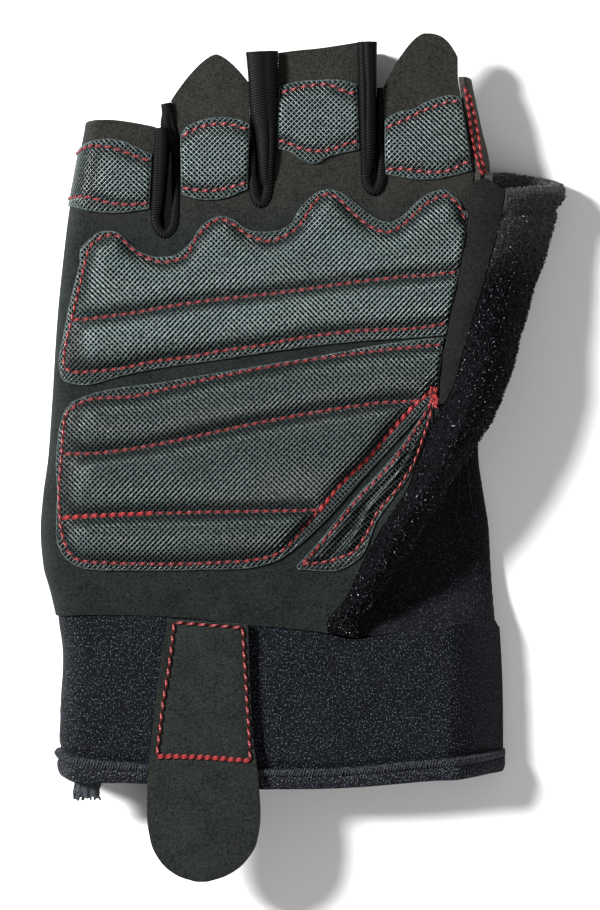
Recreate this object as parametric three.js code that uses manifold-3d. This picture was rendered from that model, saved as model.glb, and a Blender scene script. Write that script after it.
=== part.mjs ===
// Fingerless wheelchair glove, right hand, lying palm up on its back.
// Millimetres, +Z up, fingers toward +Y, thumb toward +X, underside of the
// back panel flat on z = 0.
import * as THREE from 'three';
import { mergeVertices } from 'three/addons/utils/BufferGeometryUtils.js';
import Module from 'manifold-3d';

const wasm = await Module();
wasm.setup();

// ---------------------------------------------------------------- driving sizes
const GAP = 0.35;            // clearance between neighbouring pieces
const SUEDE = 1.2;           // suede thickness
const BACK = 1.3;            // stretch back thickness
const TERRY = 1.5;           // thumb terry thickness
const NEOPRENE = 1.9;        // cuff thickness
const KNIT = 2.15;           // rolled fourchette wall
const MESH = 1.25;           // padded mesh patch at its edge
const PUFF = 0.5;            // extra height in the middle of a patch
const TAB = 1.4;             // pull tab thickness
const FLOOR_ROUND = 5.2;     // radius along the floor at the little-finger side
const SIDE_POWER = 2.3;      // roundness of the little-finger side
const SEAM_LOW = -35;        // degrees: where palm and back meet on that side
const CENTRE = { x: 0.435, y: -0.2 };   // middle of the finished glove in these tables

// Hand body, a row for each cross-section from wrist to fingertips.
// xl, zl: left-most point; al: width of the left shoulder; top: palm height;
// xe: right end of the palm suede; xr: right-most point of the back; zr its height
const BODY = [
  { y: -42, xl: -54.3, zl: 7.0, al: 6.0, top: 16.4, xe: 6.0, xr: 45.2, zr: 3.4 },
  { y: -37, xl: -55.4, zl: 7.0, al: 6.0, top: 16.4, xe: 6.6, xr: 44.6, zr: 3.2 },
  { y: -31, xl: -56.8, zl: 7.0, al: 6.0, top: 16.5, xe: 10.7, xr: 44.1, zr: 2.8 },
  { y: -25, xl: -58.4, zl: 7.0, al: 6.2, top: 16.7, xe: 13.2, xr: 43.7, zr: 2.4 },
  { y: -17, xl: -59.0, zl: 7.0, al: 6.4, top: 16.8, xe: 17.4, xr: 43.3, zr: 2.3 },
  { y: -9, xl: -58.4, zl: 7.0, al: 6.2, top: 16.8, xe: 23.0, xr: 42.1, zr: 2.3 },
  { y: 0, xl: -57.2, zl: 7.0, al: 5.6, top: 16.7, xe: 26.4, xr: 40.9, zr: 2.3 },
  { y: 7, xl: -56.7, zl: 7.0, al: 5.4, top: 16.6, xe: 29.0, xr: 40.8, zr: 2.3 },
  { y: 13, xl: -56.3, zl: 7.0, al: 5.2, top: 16.4, xe: 31.8, xr: 40.9, zr: 2.4 },
  { y: 20, xl: -55.9, zl: 7.0, al: 5.2, top: 16.3, xe: 33.4, xr: 40.9, zr: 2.4 },
  { y: 32, xl: -55.1, zl: 7.0, al: 5.2, top: 16.2, xe: 35.1, xr: 40.7, zr: 2.4 },
  { y: 45, xl: -53.8, zl: 6.8, al: 5.0, top: 16.0, xe: 37.2, xr: 41.6, zr: 2.4 },
  { y: 55, xl: -52.6, zl: 6.6, al: 4.8, top: 15.8, xe: 38.7, xr: 42.8, zr: 2.4 },
  { y: 65, xl: -50.8, zl: 6.4, al: 4.6, top: 15.4, xe: 38.8, xr: 43.5, zr: 2.4 },
  { y: 75, xl: -48.9, zl: 6.2, al: 4.4, top: 15.0, xe: 37.1, xr: 41.5, zr: 2.4 },
  { y: 86, xl: -47.6, zl: 6.0, al: 4.2, top: 14.7, xe: 35.2, xr: 39.2, zr: 2.4 },
  { y: 97, xl: -46.8, zl: 6.0, al: 4.2, top: 14.5, xe: 35.2, xr: 37.6, zr: 2.4 },
];

// Thumb, a row for each cross-section from cuff to thumb mouth. Points run
// round the section: under the fold, left fold, top of the suede, suede/terry
// seam, middle of the terry, outer edge, foot, belly, inner end of the terry.
const THUMB = [
  { y: -42, ux: -2.0, uz: 16.4, fx: 0.5, fz: 16.5, tx: 3.6, tz: 16.7, sx: 6.9, sz: 16.9, mx: 9.6, mz: 16.9, ex: 12.3, ez: 16.4, ox: 12.8, oz: 15.6, bx: 12.6, bz: 14.8, jx: 12.0, jz: 14.2 },
  { y: -38, ux: -3.2, uz: 16.5, fx: -0.8, fz: 16.6, tx: 2.8, tz: 16.8, sx: 6.2, sz: 17.1, mx: 9.5, mz: 17.3, ex: 12.5, ez: 15.4, ox: 12.8, oz: 14.2, bx: 12.4, bz: 13.2, jx: 11.7, jz: 12.6 },
  { y: -32, ux: 0.6, uz: 16.5, fx: 3.4, fz: 16.7, tx: 7.0, tz: 17.2, sx: 10.5, sz: 17.8, mx: 14.0, mz: 18.4, ex: 17.1, ez: 14.6, ox: 16.8, oz: 11.8, bx: 15.8, bz: 10.2, jx: 14.8, jz: 9.0 },
  { y: -24, ux: 3.0, uz: 16.7, fx: 6.2, fz: 17.2, tx: 10.2, tz: 18.4, sx: 14.1, sz: 19.4, mx: 18.8, mz: 20.2, ex: 22.7, ez: 15.0, ox: 22.1, oz: 10.8, bx: 21.2, bz: 8.6, jx: 20.0, jz: 6.9 },
  { y: -16, ux: 6.8, uz: 16.8, fx: 10.2, fz: 17.3, tx: 14.4, tz: 18.8, sx: 18.5, sz: 20.2, mx: 23.7, mz: 21.4, ex: 28.0, ez: 15.6, ox: 27.3, oz: 10.4, bx: 26.3, bz: 7.8, jx: 25.0, jz: 5.8 },
  { y: -8, ux: 12.6, uz: 16.8, fx: 15.8, fz: 17.2, tx: 20.0, tz: 18.7, sx: 23.8, sz: 20.2, mx: 28.6, mz: 22.3, ex: 32.9, ez: 16.0, ox: 32.1, oz: 10.6, bx: 31.0, bz: 7.6, jx: 29.6, jz: 5.4 },
  { y: 0, ux: 16.4, uz: 16.7, fx: 19.8, fz: 17.0, tx: 23.6, tz: 17.9, sx: 26.9, sz: 19.2, mx: 33.1, mz: 22.7, ex: 38.3, ez: 16.0, ox: 37.4, oz: 11.0, bx: 36.0, bz: 8.0, jx: 34.4, jz: 5.6 },
  { y: 6, ux: 20.6, uz: 16.6, fx: 23.4, fz: 16.9, tx: 26.6, tz: 17.5, sx: 29.2, sz: 18.6, mx: 36.0, mz: 22.7, ex: 42.1, ez: 15.8, ox: 41.2, oz: 11.0, bx: 39.9, bz: 8.3, jx: 38.5, jz: 6.0 },
  { y: 12, ux: 32.9, uz: 16.9, fx: 31.3, fz: 17.5, tx: 31.8, tz: 18.2, sx: 32.5, sz: 18.9, mx: 38.6, mz: 22.6, ex: 45.0, ez: 15.6, ox: 43.8, oz: 11.2, bx: 42.4, bz: 8.6, jx: 41.0, jz: 6.5 },
  { y: 16, ux: 33.4, uz: 16.8, fx: 31.4, fz: 18.1, tx: 32.6, tz: 19.4, sx: 34.4, sz: 20.3, mx: 40.0, mz: 22.5, ex: 46.5, ez: 15.2, ox: 45.0, oz: 10.4, bx: 43.3, bz: 7.8, jx: 41.6, jz: 5.8 },
  { y: 22, ux: 34.0, uz: 16.7, fx: 31.9, fz: 18.4, tx: 33.6, tz: 20.2, sx: 36.0, sz: 21.0, mx: 42.0, mz: 22.2, ex: 48.6, ez: 14.2, ox: 46.8, oz: 8.6, bx: 44.8, bz: 6.2, jx: 42.4, jz: 4.9 },
  { y: 27, ux: 34.9, uz: 16.6, fx: 33.0, fz: 18.4, tx: 34.8, tz: 20.3, sx: 37.5, sz: 21.1, mx: 43.4, mz: 21.4, ex: 50.1, ez: 12.4, ox: 48.2, oz: 6.2, bx: 45.6, bz: 4.8, jx: 42.9, jz: 5.3 },
  { y: 29.5, ux: 35.3, uz: 16.6, fx: 33.4, fz: 18.4, tx: 35.3, tz: 20.3, sx: 38.2, sz: 21.0, mx: 44.3, mz: 20.6, ex: 50.9, ez: 11.0, ox: 48.9, oz: 4.6, bx: 45.6, bz: 5.6, jx: 42.1, jz: 10.6 },
  { y: 32, ux: 35.7, uz: 16.6, fx: 33.9, fz: 18.3, tx: 35.8, tz: 20.2, sx: 38.9, sz: 20.9, mx: 45.4, mz: 19.8, ex: 51.8, ez: 9.4, ox: 49.4, oz: 3.4, bx: 43.9, bz: 7.3, jx: 37.2, jz: 16.7 },
  { y: 38, ux: 36.9, uz: 16.5, fx: 35.2, fz: 18.2, tx: 37.4, tz: 20.1, sx: 40.9, sz: 20.6, mx: 47.6, mz: 18.4, ex: 53.4, ez: 7.4, ox: 50.9, oz: 2.6, bx: 44.4, bz: 6.2, jx: 38.4, jz: 16.6 },
  { y: 45, ux: 38.3, uz: 16.4, fx: 36.5, fz: 18.1, tx: 39.0, tz: 19.8, sx: 42.8, sz: 20.0, mx: 49.8, mz: 16.8, ex: 55.8, ez: 6.0, ox: 53.0, oz: 2.2, bx: 45.3, bz: 5.2, jx: 39.8, jz: 16.5 },
  { y: 53, ux: 39.6, uz: 16.2, fx: 37.7, fz: 17.9, tx: 40.4, tz: 19.4, sx: 44.9, sz: 19.4, mx: 52.0, mz: 15.4, ex: 58.2, ez: 4.9, ox: 55.2, oz: 2.0, bx: 46.4, bz: 4.7, jx: 41.1, jz: 16.1 },
  { y: 58, ux: 40.2, uz: 16.0, fx: 38.4, fz: 17.6, tx: 41.2, tz: 19.0, sx: 45.8, sz: 19.0, mx: 53.2, mz: 14.8, ex: 59.5, ez: 4.5, ox: 56.4, oz: 1.9, bx: 46.9, bz: 4.6, jx: 41.7, jz: 15.9 },
  { y: 64, ux: 40.4, uz: 15.9, fx: 38.4, fz: 17.4, tx: 41.4, tz: 18.7, sx: 46.2, sz: 18.7, mx: 53.8, mz: 14.4, ex: 60.2, ez: 4.4, ox: 57.0, oz: 1.9, bx: 47.1, bz: 4.5, jx: 41.9, jz: 15.8 },
];
// Rim of the thumb mouth: the floor side stands further out than the top.
const MOUTH = { under: 61.6, fold: 61.0, top: 62.0, seam: 59.4, mid: 60.3, edge: 61.6, foot: 62.8, belly: 64.0, end: 63.0 };

// Thumb-side flap of the back panel. kx, kz: its inner edge in the crease;
// fw: how far the flat part stops short of the right fold; fz: its height there
const FLAP = [
  { y: -42, kx: 12.6, kz: 13.8, fw: 9.0, fz: 12.4 },
  { y: -38, kx: 12.4, kz: 12.2, fw: 8.6, fz: 11.0 },
  { y: -34, kx: 14.1, kz: 9.7, fw: 7.0, fz: 8.6 },
  { y: -30, kx: 17.0, kz: 7.6, fw: 5.6, fz: 6.4 },
  { y: -24, kx: 20.6, kz: 6.3, fw: 4.2, fz: 5.2 },
  { y: -16, kx: 25.6, kz: 5.2, fw: 3.6, fz: 4.8 },
  { y: -8, kx: 30.2, kz: 4.9, fw: 3.4, fz: 4.7 },
  { y: 0, kx: 35.0, kz: 5.0, fw: 2.8, fz: 4.6 },
  { y: 6, kx: 39.0, kz: 5.3, fw: 1.2, fz: 4.5 },
  { y: 12, kx: 41.1, kz: 5.6, fw: 0.35, fz: 4.6 },
  { y: 18, kx: 41.5, kz: 4.9, fw: 0.20, fz: 4.0 },
  { y: 27, kx: 41.1, kz: 4.2, fw: 0.20, fz: 3.6 },
  { y: 97, kx: 41.1, kz: 4.2, fw: 0.20, fz: 3.6 },
];

// Wrist edge of palm, terry and flap along the top, from side to side.
const WRIST = [
  { x: -62, y: -36.6 }, { x: -44, y: -35.9 }, { x: -28, y: -36.4 }, { x: -13, y: -38.1 },
  { x: -2, y: -39.0 }, { x: 5, y: -39.8 }, { x: 12.5, y: -41.5 }, { x: 19, y: -40.7 },
  { x: 26, y: -39.2 }, { x: 35, y: -38.0 }, { x: 50, y: -37.2 },
];
const WRIST_BACK = -37.0;    // the same edge under the hand

// Fingers: width between the walls, straight end or rounded tab on the end.
// xl/yl and xr/yr are the corners, xp/yp the peak, pl/pr how full the curve is
const FINGERS = [
  { name: 'pinky', xl: -64, yl: 74.6, xp: -43.0, yp: 75.5, xr: -31.6, yr: 73.7, pl: 2.0, pr: 1.4, back: 72.4 },
  { name: 'ring', xl: -29.2, yl: 79.7, xp: -18.9, yp: 90.3, xr: -11.3, yr: 83.6, pl: 1.5, pr: 1.5, back: 78.0 },
  { name: 'middle', xl: -5.0, yl: 90.6, xp: 2.0, yp: 91.4, xr: 13.0, yr: 93.0, pl: 1.2, pr: 1.2, back: 86.5 },
  { name: 'index', xl: 18.6, yl: 82.4, xp: 28.1, yp: 95.0, xr: 37.8, yr: 83.4, pl: 1.6, pr: 2.9, back: 82.0 },
];

// Slits between the fingers, each filled by a U-shaped knit wall.
// left and right side at the finger end (0) and at the root (1); the U's floor
const SLITS = [
  { name: 'fourchette_pinky_ring', xa0: -32.5, xa1: -33.6, xb0: -29.1, xb1: -27.0, kneeB: 71.0, kneeX: -26.8, root: 48.6, round: 5.2, topA: 73.6, topB: 79.4, z: 16.2 },
  { name: 'fourchette_ring_middle', xa0: -11.2, xa1: -11.5, xb0: -4.9, xb1: -5.9, kneeB: 74.0, kneeX: -5.1, root: 55.4, round: 5.0, topA: 90.4, topB: 90.6, z: 16.4 },
  { name: 'fourchette_middle_index', xa0: 12.9, xa1: 13.8, xb0: 18.7, xb1: 19.5, kneeB: 70.0, kneeX: 18.9, root: 58.3, round: 4.4, topA: 92.8, topB: 82.8, z: 16.3 },
];

// Mesh patches between two curves; a row for each knee of the upper (t) and
// lower (b) edge. Scallops of the palm patch are its peaks and valleys.
const PATCHES = {
  pad_pinky: { t: [[-48.9, 70.2], [-46.4, 70.8], [-42.0, 70.9], [-33.7, 67.8]], b: [[-51.4, 56.6], [-46.8, 55.2], [-41.0, 54.5], [-33.9, 55.5]], cols: 9, rows: 3 },
  pad_ring: { t: [[-26.4, 71.8], [-23.5, 75.0], [-18.0, 76.2], [-14.0, 75.6], [-10.8, 74.2]], b: [[-26.7, 58.8], [-23.0, 57.8], [-20.0, 57.5], [-15.6, 58.9], [-11.6, 60.0]], cols: 9, rows: 3 },
  pad_middle: { t: [[-4.8, 83.0], [0.0, 84.2], [6.0, 84.4], [13.0, 83.4]], b: [[-4.9, 69.3], [-0.2, 67.2], [3.9, 66.1], [8.0, 67.8], [13.2, 69.0]], cols: 9, rows: 3 },
  pad_index: { t: [[19.2, 75.4], [25.5, 77.9], [31.0, 80.4], [35.6, 81.0]], b: [[19.3, 63.4], [25.5, 62.4], [29.9, 62.2], [35.0, 63.2], [38.2, 64.1]], cols: 9, rows: 3 },
  upper_palm_pad: { t: [[-54.0, 20.5], [-52.2, 32.0], [-49.4, 43.3], [-43.5, 50.2], [-31.2, 44.4], [-17.5, 53.6], [-8.1, 49.9], [6.8, 59.8], [19.7, 52.2], [32.4, 59.6], [36.6, 56.8]], b: [[-54.0, 18.2], [-51.2, 16.0], [-42.7, 17.0], [-20.0, 20.9], [0.0, 24.3], [17.0, 26.2], [32.6, 27.2], [36.6, 46.0]], cols: 28, rows: 4 },
  lower_palm_pad: { t: [[-54.6, 6.0], [-52.4, 10.9], [-49.4, 12.6], [-33.6, 15.4], [-13.0, 18.9], [9.0, 23.0], [28.8, 25.6]], b: [[-54.6, -9.0], [-54.2, -20.5], [-49.5, -24.9], [-40.0, -25.8], [-20.0, -25.6], [-8.5, -24.6], [-1.6, -21.1], [7.5, -12.3], [28.8, 10.3]], cols: 20, rows: 4 },
  thumb_base_pad: { t: [[0.2, -24.8], [4.8, -19.8], [12.9, -10.0], [20.1, -2.4], [27.4, 6.4]], b: [[0.2, -25.4], [9.8, -25.3], [12.9, -23.4], [17.2, -14.0], [22.0, -7.5], [26.4, 1.6], [27.4, 4.8]], cols: 11, rows: 2 },
};

// Wrist cuff, a row for each cross-section; hem adds a little all round.
const CUFF = [
  { y: -77, xl: -54.4, xr: 46.3, top: 16.6 },
  { y: -72, xl: -54.7, xr: 46.5, top: 16.6 },
  { y: -63, xl: -54.6, xr: 46.5, top: 16.2 },
  { y: -54, xl: -54.3, xr: 46.4, top: 16.0 },
  { y: -46, xl: -54.0, xr: 46.1, top: 15.9 },
  { y: -38, xl: -54.9, xr: 45.6, top: 15.9 },
  { y: -34, xl: -55.2, xr: 45.4, top: 15.9 },
];
const HEM = { lift: 0.45, left: -54.6, right: 46.4 };
const HEM_SEAM = [{ x: -56, y: -66.4 }, { x: -45, y: -68.4 }, { x: -9, y: -70.4 }, { x: 3, y: -70.4 }, { x: 30, y: -68.3 }, { x: 48, y: -67.0 }];
const HEM_EDGE = [{ x: -56, y: -72.0 }, { x: -50, y: -73.6 }, { x: -34, y: -73.8 }, { x: -9, y: -75.1 }, { x: 3, y: -75.1 }, { x: 30, y: -73.3 }, { x: 48, y: -72.2 }];

// Pull tab, a row for each width: centre line, half width and height.
const TONGUE = [
  { y: -37.9, xc: -20.8, hw: 9.1, z: 16.4 },
  { y: -52.0, xc: -21.6, hw: 10.4, z: 16.5 },
  { y: -64.0, xc: -21.9, hw: 11.4, z: 17.0 },
  { y: -70.5, xc: -21.8, hw: 12.2, z: 17.5 },
  { y: -80.5, xc: -21.5, hw: 12.7, z: 18.2 },
  { y: -86.5, xc: -21.5, hw: 11.9, z: 18.5 },
  { y: -91.0, xc: -21.7, hw: 9.4, z: 18.6 },
  { y: -94.2, xc: -21.9, hw: 5.2, z: 18.6 },
  { y: -95.4, xc: -22.0, hw: 1.4, z: 18.6 },
];
const TAIL = { x0: -51.2, x1: -44.9, y0: -74.3, y1: -78.2, z: 11.4, thick: 1.1 };

// ---------------------------------------------------------------- tables
// Smooth monotone reading of one column of a table.
function reader(rows, by, key) {
  const r = [...rows].sort((a, b) => a[by] - b[by]);
  const x = r.map((q) => q[by]), f = r.map((q) => q[key]), n = x.length;
  const h = [], d = [], m = new Array(n);
  for (let i = 0; i < n - 1; i++) { h.push(x[i + 1] - x[i]); d.push((f[i + 1] - f[i]) / h[i]); }
  m[0] = d[0]; m[n - 1] = d[n - 2];
  for (let i = 1; i < n - 1; i++) {
    if (d[i - 1] * d[i] <= 0) m[i] = 0;
    else {
      const a = 2 * h[i] + h[i - 1], b = h[i] + 2 * h[i - 1];
      m[i] = (a + b) / (a / d[i - 1] + b / d[i]);
    }
  }
  return (t) => {
    if (t <= x[0]) return f[0];
    if (t >= x[n - 1]) return f[n - 1];
    let i = 0;
    while (t > x[i + 1]) i++;
    const s = (t - x[i]) / h[i], s2 = s * s, s3 = s2 * s;
    return (2 * s3 - 3 * s2 + 1) * f[i] + (s3 - 2 * s2 + s) * h[i] * m[i]
      + (-2 * s3 + 3 * s2) * f[i + 1] + (s3 - s2) * h[i] * m[i + 1];
  };
}
function readers(rows, by = 'y') {
  const out = {};
  for (const k of Object.keys(rows[0])) if (k !== by && typeof rows[0][k] === 'number') out[k] = reader(rows, by, k);
  return out;
}
const body = readers(BODY), thumb = readers(THUMB), flap = readers(FLAP), cuff = readers(CUFF), tongue = readers(TONGUE);
const wrist = reader(WRIST, 'x', 'y'), hemSeam = reader(HEM_SEAM, 'x', 'y'), hemEdge = reader(HEM_EDGE, 'x', 'y');
const mix = (a, b, t) => a + (b - a) * t;
const clamp = (t, a = 0, b = 1) => Math.min(b, Math.max(a, t));
const ease = (t) => { const c = clamp(t); return c * c * (3 - 2 * c); };
const rad = THREE.MathUtils.degToRad;
const pw = (c) => Math.sign(c) * Math.pow(Math.abs(c), 2 / SIDE_POWER);

// ---------------------------------------------------------------- solids
// Closed solid between an outer and an inner surface, both over u, v in 0..1.
function sheet(nu, nv, outer, inner, ring = false) {
  const pos = [], idx = [];
  const cols = ring ? nu : nu + 1;
  for (const surf of [outer, inner])
    for (let j = 0; j <= nv; j++)
      for (let i = 0; i < cols; i++) { const p = surf(i / nu, j / nv); pos.push(p.x - CENTRE.x, p.y - CENTRE.y, p.z); }
  const half = cols * (nv + 1);
  const at = (i, j, s) => s * half + j * cols + (ring ? i % nu : i);
  const quad = (a, b, c, d) => idx.push(a, b, c, a, c, d);
  for (let j = 0; j < nv; j++)
    for (let i = 0; i < nu; i++) {
      quad(at(i, j, 0), at(i + 1, j, 0), at(i + 1, j + 1, 0), at(i, j + 1, 0));
      quad(at(i, j, 1), at(i, j + 1, 1), at(i + 1, j + 1, 1), at(i + 1, j, 1));
    }
  for (let i = 0; i < nu; i++) {
    quad(at(i, 0, 0), at(i, 0, 1), at(i + 1, 0, 1), at(i + 1, 0, 0));
    quad(at(i, nv, 0), at(i + 1, nv, 0), at(i + 1, nv, 1), at(i, nv, 1));
  }
  if (!ring) for (let j = 0; j < nv; j++) {
    quad(at(0, j, 0), at(0, j + 1, 0), at(0, j + 1, 1), at(0, j, 1));
    quad(at(nu, j, 0), at(nu, j, 1), at(nu, j + 1, 1), at(nu, j + 1, 0));
  }
  return solid(pos, idx);
}
function solid(pos, idx) {
  let vol = 0;
  const v = (k) => new THREE.Vector3(pos[3 * k], pos[3 * k + 1], pos[3 * k + 2]);
  for (let k = 0; k < idx.length; k += 3) vol += v(idx[k]).dot(v(idx[k + 1]).cross(v(idx[k + 2])));
  if (vol < 0) for (let k = 0; k < idx.length; k += 3) [idx[k + 1], idx[k + 2]] = [idx[k + 2], idx[k + 1]];
  const g = new THREE.BufferGeometry();
  g.setAttribute('position', new THREE.Float32BufferAttribute(pos, 3));
  g.setIndex(idx);
  return mergeVertices(g, 1e-3);
}
// Inner surface: the outer one moved in along its own normal. Short of u = held the
// direction stays the same, so that the wall doesn't cross itself in a tight fold.
function inset(surf, t, held = 0) {
  const e = 1e-3;
  return (u, v) => {
    const w = Math.max(u, held), u0 = Math.max(0, w - e), u1 = Math.min(1, w + e), v0 = Math.max(0, v - e), v1 = Math.min(1, v + e);
    const a = surf(u1, v).sub(surf(u0, v)), b = surf(u, v1).sub(surf(u, v0));
    return surf(u, v).addScaledVector(a.cross(b).normalize(), -t);
  };
}
// Upright prism over a closed outline.
function prism(points, z0, z1) {
  const g = new THREE.ExtrudeGeometry(new THREE.Shape(points.map((p) => new THREE.Vector2(p[0] - CENTRE.x, p[1] - CENTRE.y))), { depth: z1 - z0, bevelEnabled: false });
  g.translate(0, 0, z0);
  g.deleteAttribute('normal'); g.deleteAttribute('uv');
  return mergeVertices(g, 1e-4);
}
function toManifold(g) {
  return new wasm.Manifold(new wasm.Mesh({ numProp: 3, vertProperties: new Float32Array(g.attributes.position.array), triVerts: new Uint32Array(g.index.array) }));
}
function fromManifold(m) {
  const mesh = m.getMesh(), g = new THREE.BufferGeometry();
  g.setAttribute('position', new THREE.Float32BufferAttribute(Array.from(mesh.vertProperties), 3));
  g.setIndex(Array.from(mesh.triVerts));
  return mergeVertices(g, 1e-3);
}

// ---------------------------------------------------------------- glove surfaces
// Fingers are a little crowned between their walls.
function crown(x, y) {
  if (y < 50) return 0;
  const s = SLITS.map((q) => (q.xa1 + q.xb1) / 2), e = [-54, ...s, 43];
  for (let k = 0; k < 4; k++) if (x >= e[k] && x <= e[k + 1]) {
    const t = (2 * (x - e[k])) / (e[k + 1] - e[k]) - 1;
    return -0.9 * t * t * t * t * ease((y - 50) / 12);
  }
  return 0;
}
// Height of the palm suede: flat top, rising toward the thumb base, with the
// palm crease between the two large patches.
function palmZ(x, y) {
  const top = body.top(y);
  let z = top + crown(x, y);
  const crease = y - (16.6 + (x + 54) * 0.115);
  z -= 0.7 * Math.exp(-(crease * crease) / 7) * ease((38 - x) / 20);
  if (y < 13) {
    const sx = thumb.sx(y), foot = sx - 13;
    const up = mix(thumb.sz(y) - top, 0, ease((y - 9) / 4));
    const t = clamp((x - foot) / (sx - foot));
    z += up * t * t;
  }
  const xl = body.xl(y), al = body.al(y), zl = body.zl(y);
  if (x < xl + al) {
    const t = clamp((x - xl) / al, 0, 1);
    z = zl + (z - zl) * Math.pow(1 - Math.pow(1 - t, SIDE_POWER), 1 / SIDE_POWER);
  }
  return z;
}
// Palm suede: up the little-finger side, over the shoulder and across.
const SHOULDER = 6;
const PALM_COLS = 21, PALM_ROWS = 22;
function palmSurface(t) {
  return (u, v) => {
    const c = u * PALM_COLS;
    let y = mix(-36.6, 97, v);
    const yb = (x) => mix(wrist(x) + 0.0, 97, v);
    if (c <= SHOULDER) {
      const a = rad(mix(SEAM_LOW, 90, c / SHOULDER));
      y = yb(-56);
      const xl = body.xl(y), al = body.al(y), zl = body.zl(y);
      if (a < 0) return new THREE.Vector3(xl + t + (FLOOR_ROUND - t) * (1 - Math.cos(a)), y, zl + (zl - t) * Math.sin(a));
      const x = xl + t + (al - t) * (1 - pw(Math.cos(a)));
      return new THREE.Vector3(x, y, zl + (palmZ(xl + al + 0.01, y) - zl - t) * pw(Math.sin(a)));
    }
    const s = (c - SHOULDER) / (PALM_COLS - SHOULDER);
    y = yb(mix(-50, 6, s));
    const x0 = body.xl(y) + body.al(y), xe = y < 11.5 ? Math.min(body.xe(y), thumb.sx(y) - 0.6) : body.xe(y);
    const x = mix(x0, xe, s);
    return new THREE.Vector3(x, y, palmZ(x, y) - t);
  };
}
// Back: crease edge, flap, right fold, flat underside, little-finger side.
const BACK_COLS = 23, BACK_ROWS = 16;
function backSurface(t) {
  return (u, v) => {
    const c = u * BACK_COLS;
    const row = (low) => mix(low, 93, v);
    if (c <= 3) {
      const s = c / 3, y = row(wrist(mix(14, 34, s)) + 0.1);
      const kx = mix(flap.kx(y), body.xr(y) - 0.25, ease((y - 14) / 8));
      const x = mix(kx, body.xr(y) - flap.fw(y), s);
      return new THREE.Vector3(y > 9 ? Math.min(x, body.xr(y)) : x, y, mix(flap.kz(y), flap.fz(y), s) - (y > 9 ? 0 : t)).add(new THREE.Vector3(y > 9 ? -t : 0, 0, 0));
    }
    const low = mix(wrist(40), WRIST_BACK, clamp((c - 3) / 5)), y = row(low);
    const xr = body.xr(y), zr = body.zr(y), fw = flap.fw(y), fz = flap.fz(y);
    const w = Math.max(fw - t, 0.02), side = y > 9;
    if (c <= 6) {
      const a = rad(mix(90, 0, (c - 3) / 3));
      return new THREE.Vector3(xr - t - w * (1 - Math.cos(a)), y, zr + (fz - zr - (side ? 0 : t)) * Math.sin(a));
    }
    if (c <= 9) {
      const a = rad(mix(0, -90, (c - 6) / 3));
      return new THREE.Vector3(xr - t - (3.6 - t) * (1 - Math.cos(a)), y, zr + (zr - t) * Math.sin(a));
    }
    const xl = body.xl(y), zl = body.zl(y);
    if (c <= 20) return new THREE.Vector3(mix(xr - 3.6, xl + FLOOR_ROUND, (c - 9) / 11), y, t);
    const a = rad(mix(-90, SEAM_LOW - 6, (c - 20) / 3));
    return new THREE.Vector3(xl + t + (FLOOR_ROUND - t) * (1 - Math.cos(a)), y, zl + (zl - t) * Math.sin(a));
  };
}
// Thumb section: smooth curve round the named points of a row.
const KEYS = ['u', 'f', 't', 's', 'm', 'e', 'o', 'b', 'j'];
function thumbCurve(y) {
  return new THREE.CatmullRomCurve3(KEYS.map((k) => new THREE.Vector3(thumb[k + 'x'](y), 0, thumb[k + 'z'](y))), false, 'centripetal');
}
const RIM = reader([MOUTH.under, MOUTH.fold, MOUTH.top, MOUTH.seam, MOUTH.mid, MOUTH.edge, MOUTH.foot, MOUTH.belly, MOUTH.end].map((y, k) => ({ k: k / 8, y })), 'k', 'y');
function thumbSurface(k0, k1, low) {
  return (u, v) => {
    const k = mix(k0, k1, u), y = mix(low(k), RIM(k), v);
    const p = thumbCurve(y).getPoint(k);
    return new THREE.Vector3(p.x, y, Math.max(p.z, 0.4));
  };
}

// ---------------------------------------------------------------- outlines
// Upper edge of the palm across all four fingers.
function tipEdge() {
  const pts = [];
  for (const f of FINGERS) {
    const n = f.name === 'pinky' || f.name === 'middle' ? 4 : 8;
    for (let k = 0; k <= n; k++) {
      const x = mix(f.xl, f.xp, k / n);
      pts.push([x, f.yl + (f.yp - f.yl) * (1 - Math.pow(1 - k / n, f.pl))]);
    }
    for (let k = 1; k <= n; k++) {
      const x = mix(f.xp, f.xr, k / n);
      pts.push([x, f.yr + (f.yp - f.yr) * (1 - Math.pow(k / n, f.pr))]);
    }
  }
  return pts;
}
// U-shaped centre line of a slit, moved in from its sides by d.
function slitPath(s, d, topA, topB, nSide = 4, nRound = 8) {
  const pts = [], yr = s.root + s.round;
  const xa = (y) => mix(s.xa1, s.xa0, clamp((y - yr) / (topA - yr))) + d;
  const xb = (y) => (y > s.kneeB ? mix(s.kneeX, s.xb0, clamp((y - s.kneeB) / (s.topB - s.kneeB))) : mix(s.xb1, s.kneeX, clamp((y - yr) / (s.kneeB - yr)))) - d;
  for (let k = 0; k < nSide; k++) { const y = mix(topA, yr, k / nSide); pts.push([xa(y), y]); }
  const cx = (xa(yr) + xb(yr)) / 2, rx = (xb(yr) - xa(yr)) / 2, ry = s.round - d;
  for (let k = 0; k <= nRound; k++) { const a = Math.PI * (1 + k / nRound); pts.push([cx + rx * Math.cos(a), yr + ry * Math.sin(a)]); }
  for (let k = 1; k <= nSide; k++) { const y = mix(yr, topB, k / nSide); pts.push([xb(y), y]); }
  return pts;
}
// Slit opening with room round the knit wall, running out past the fingertips.
function slitHole(s, grow) {
  const p = slitPath(s, -grow, s.topA, s.topB);
  return [[p[0][0], 110], ...p, [p[p.length - 1][0], 110]];
}
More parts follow.
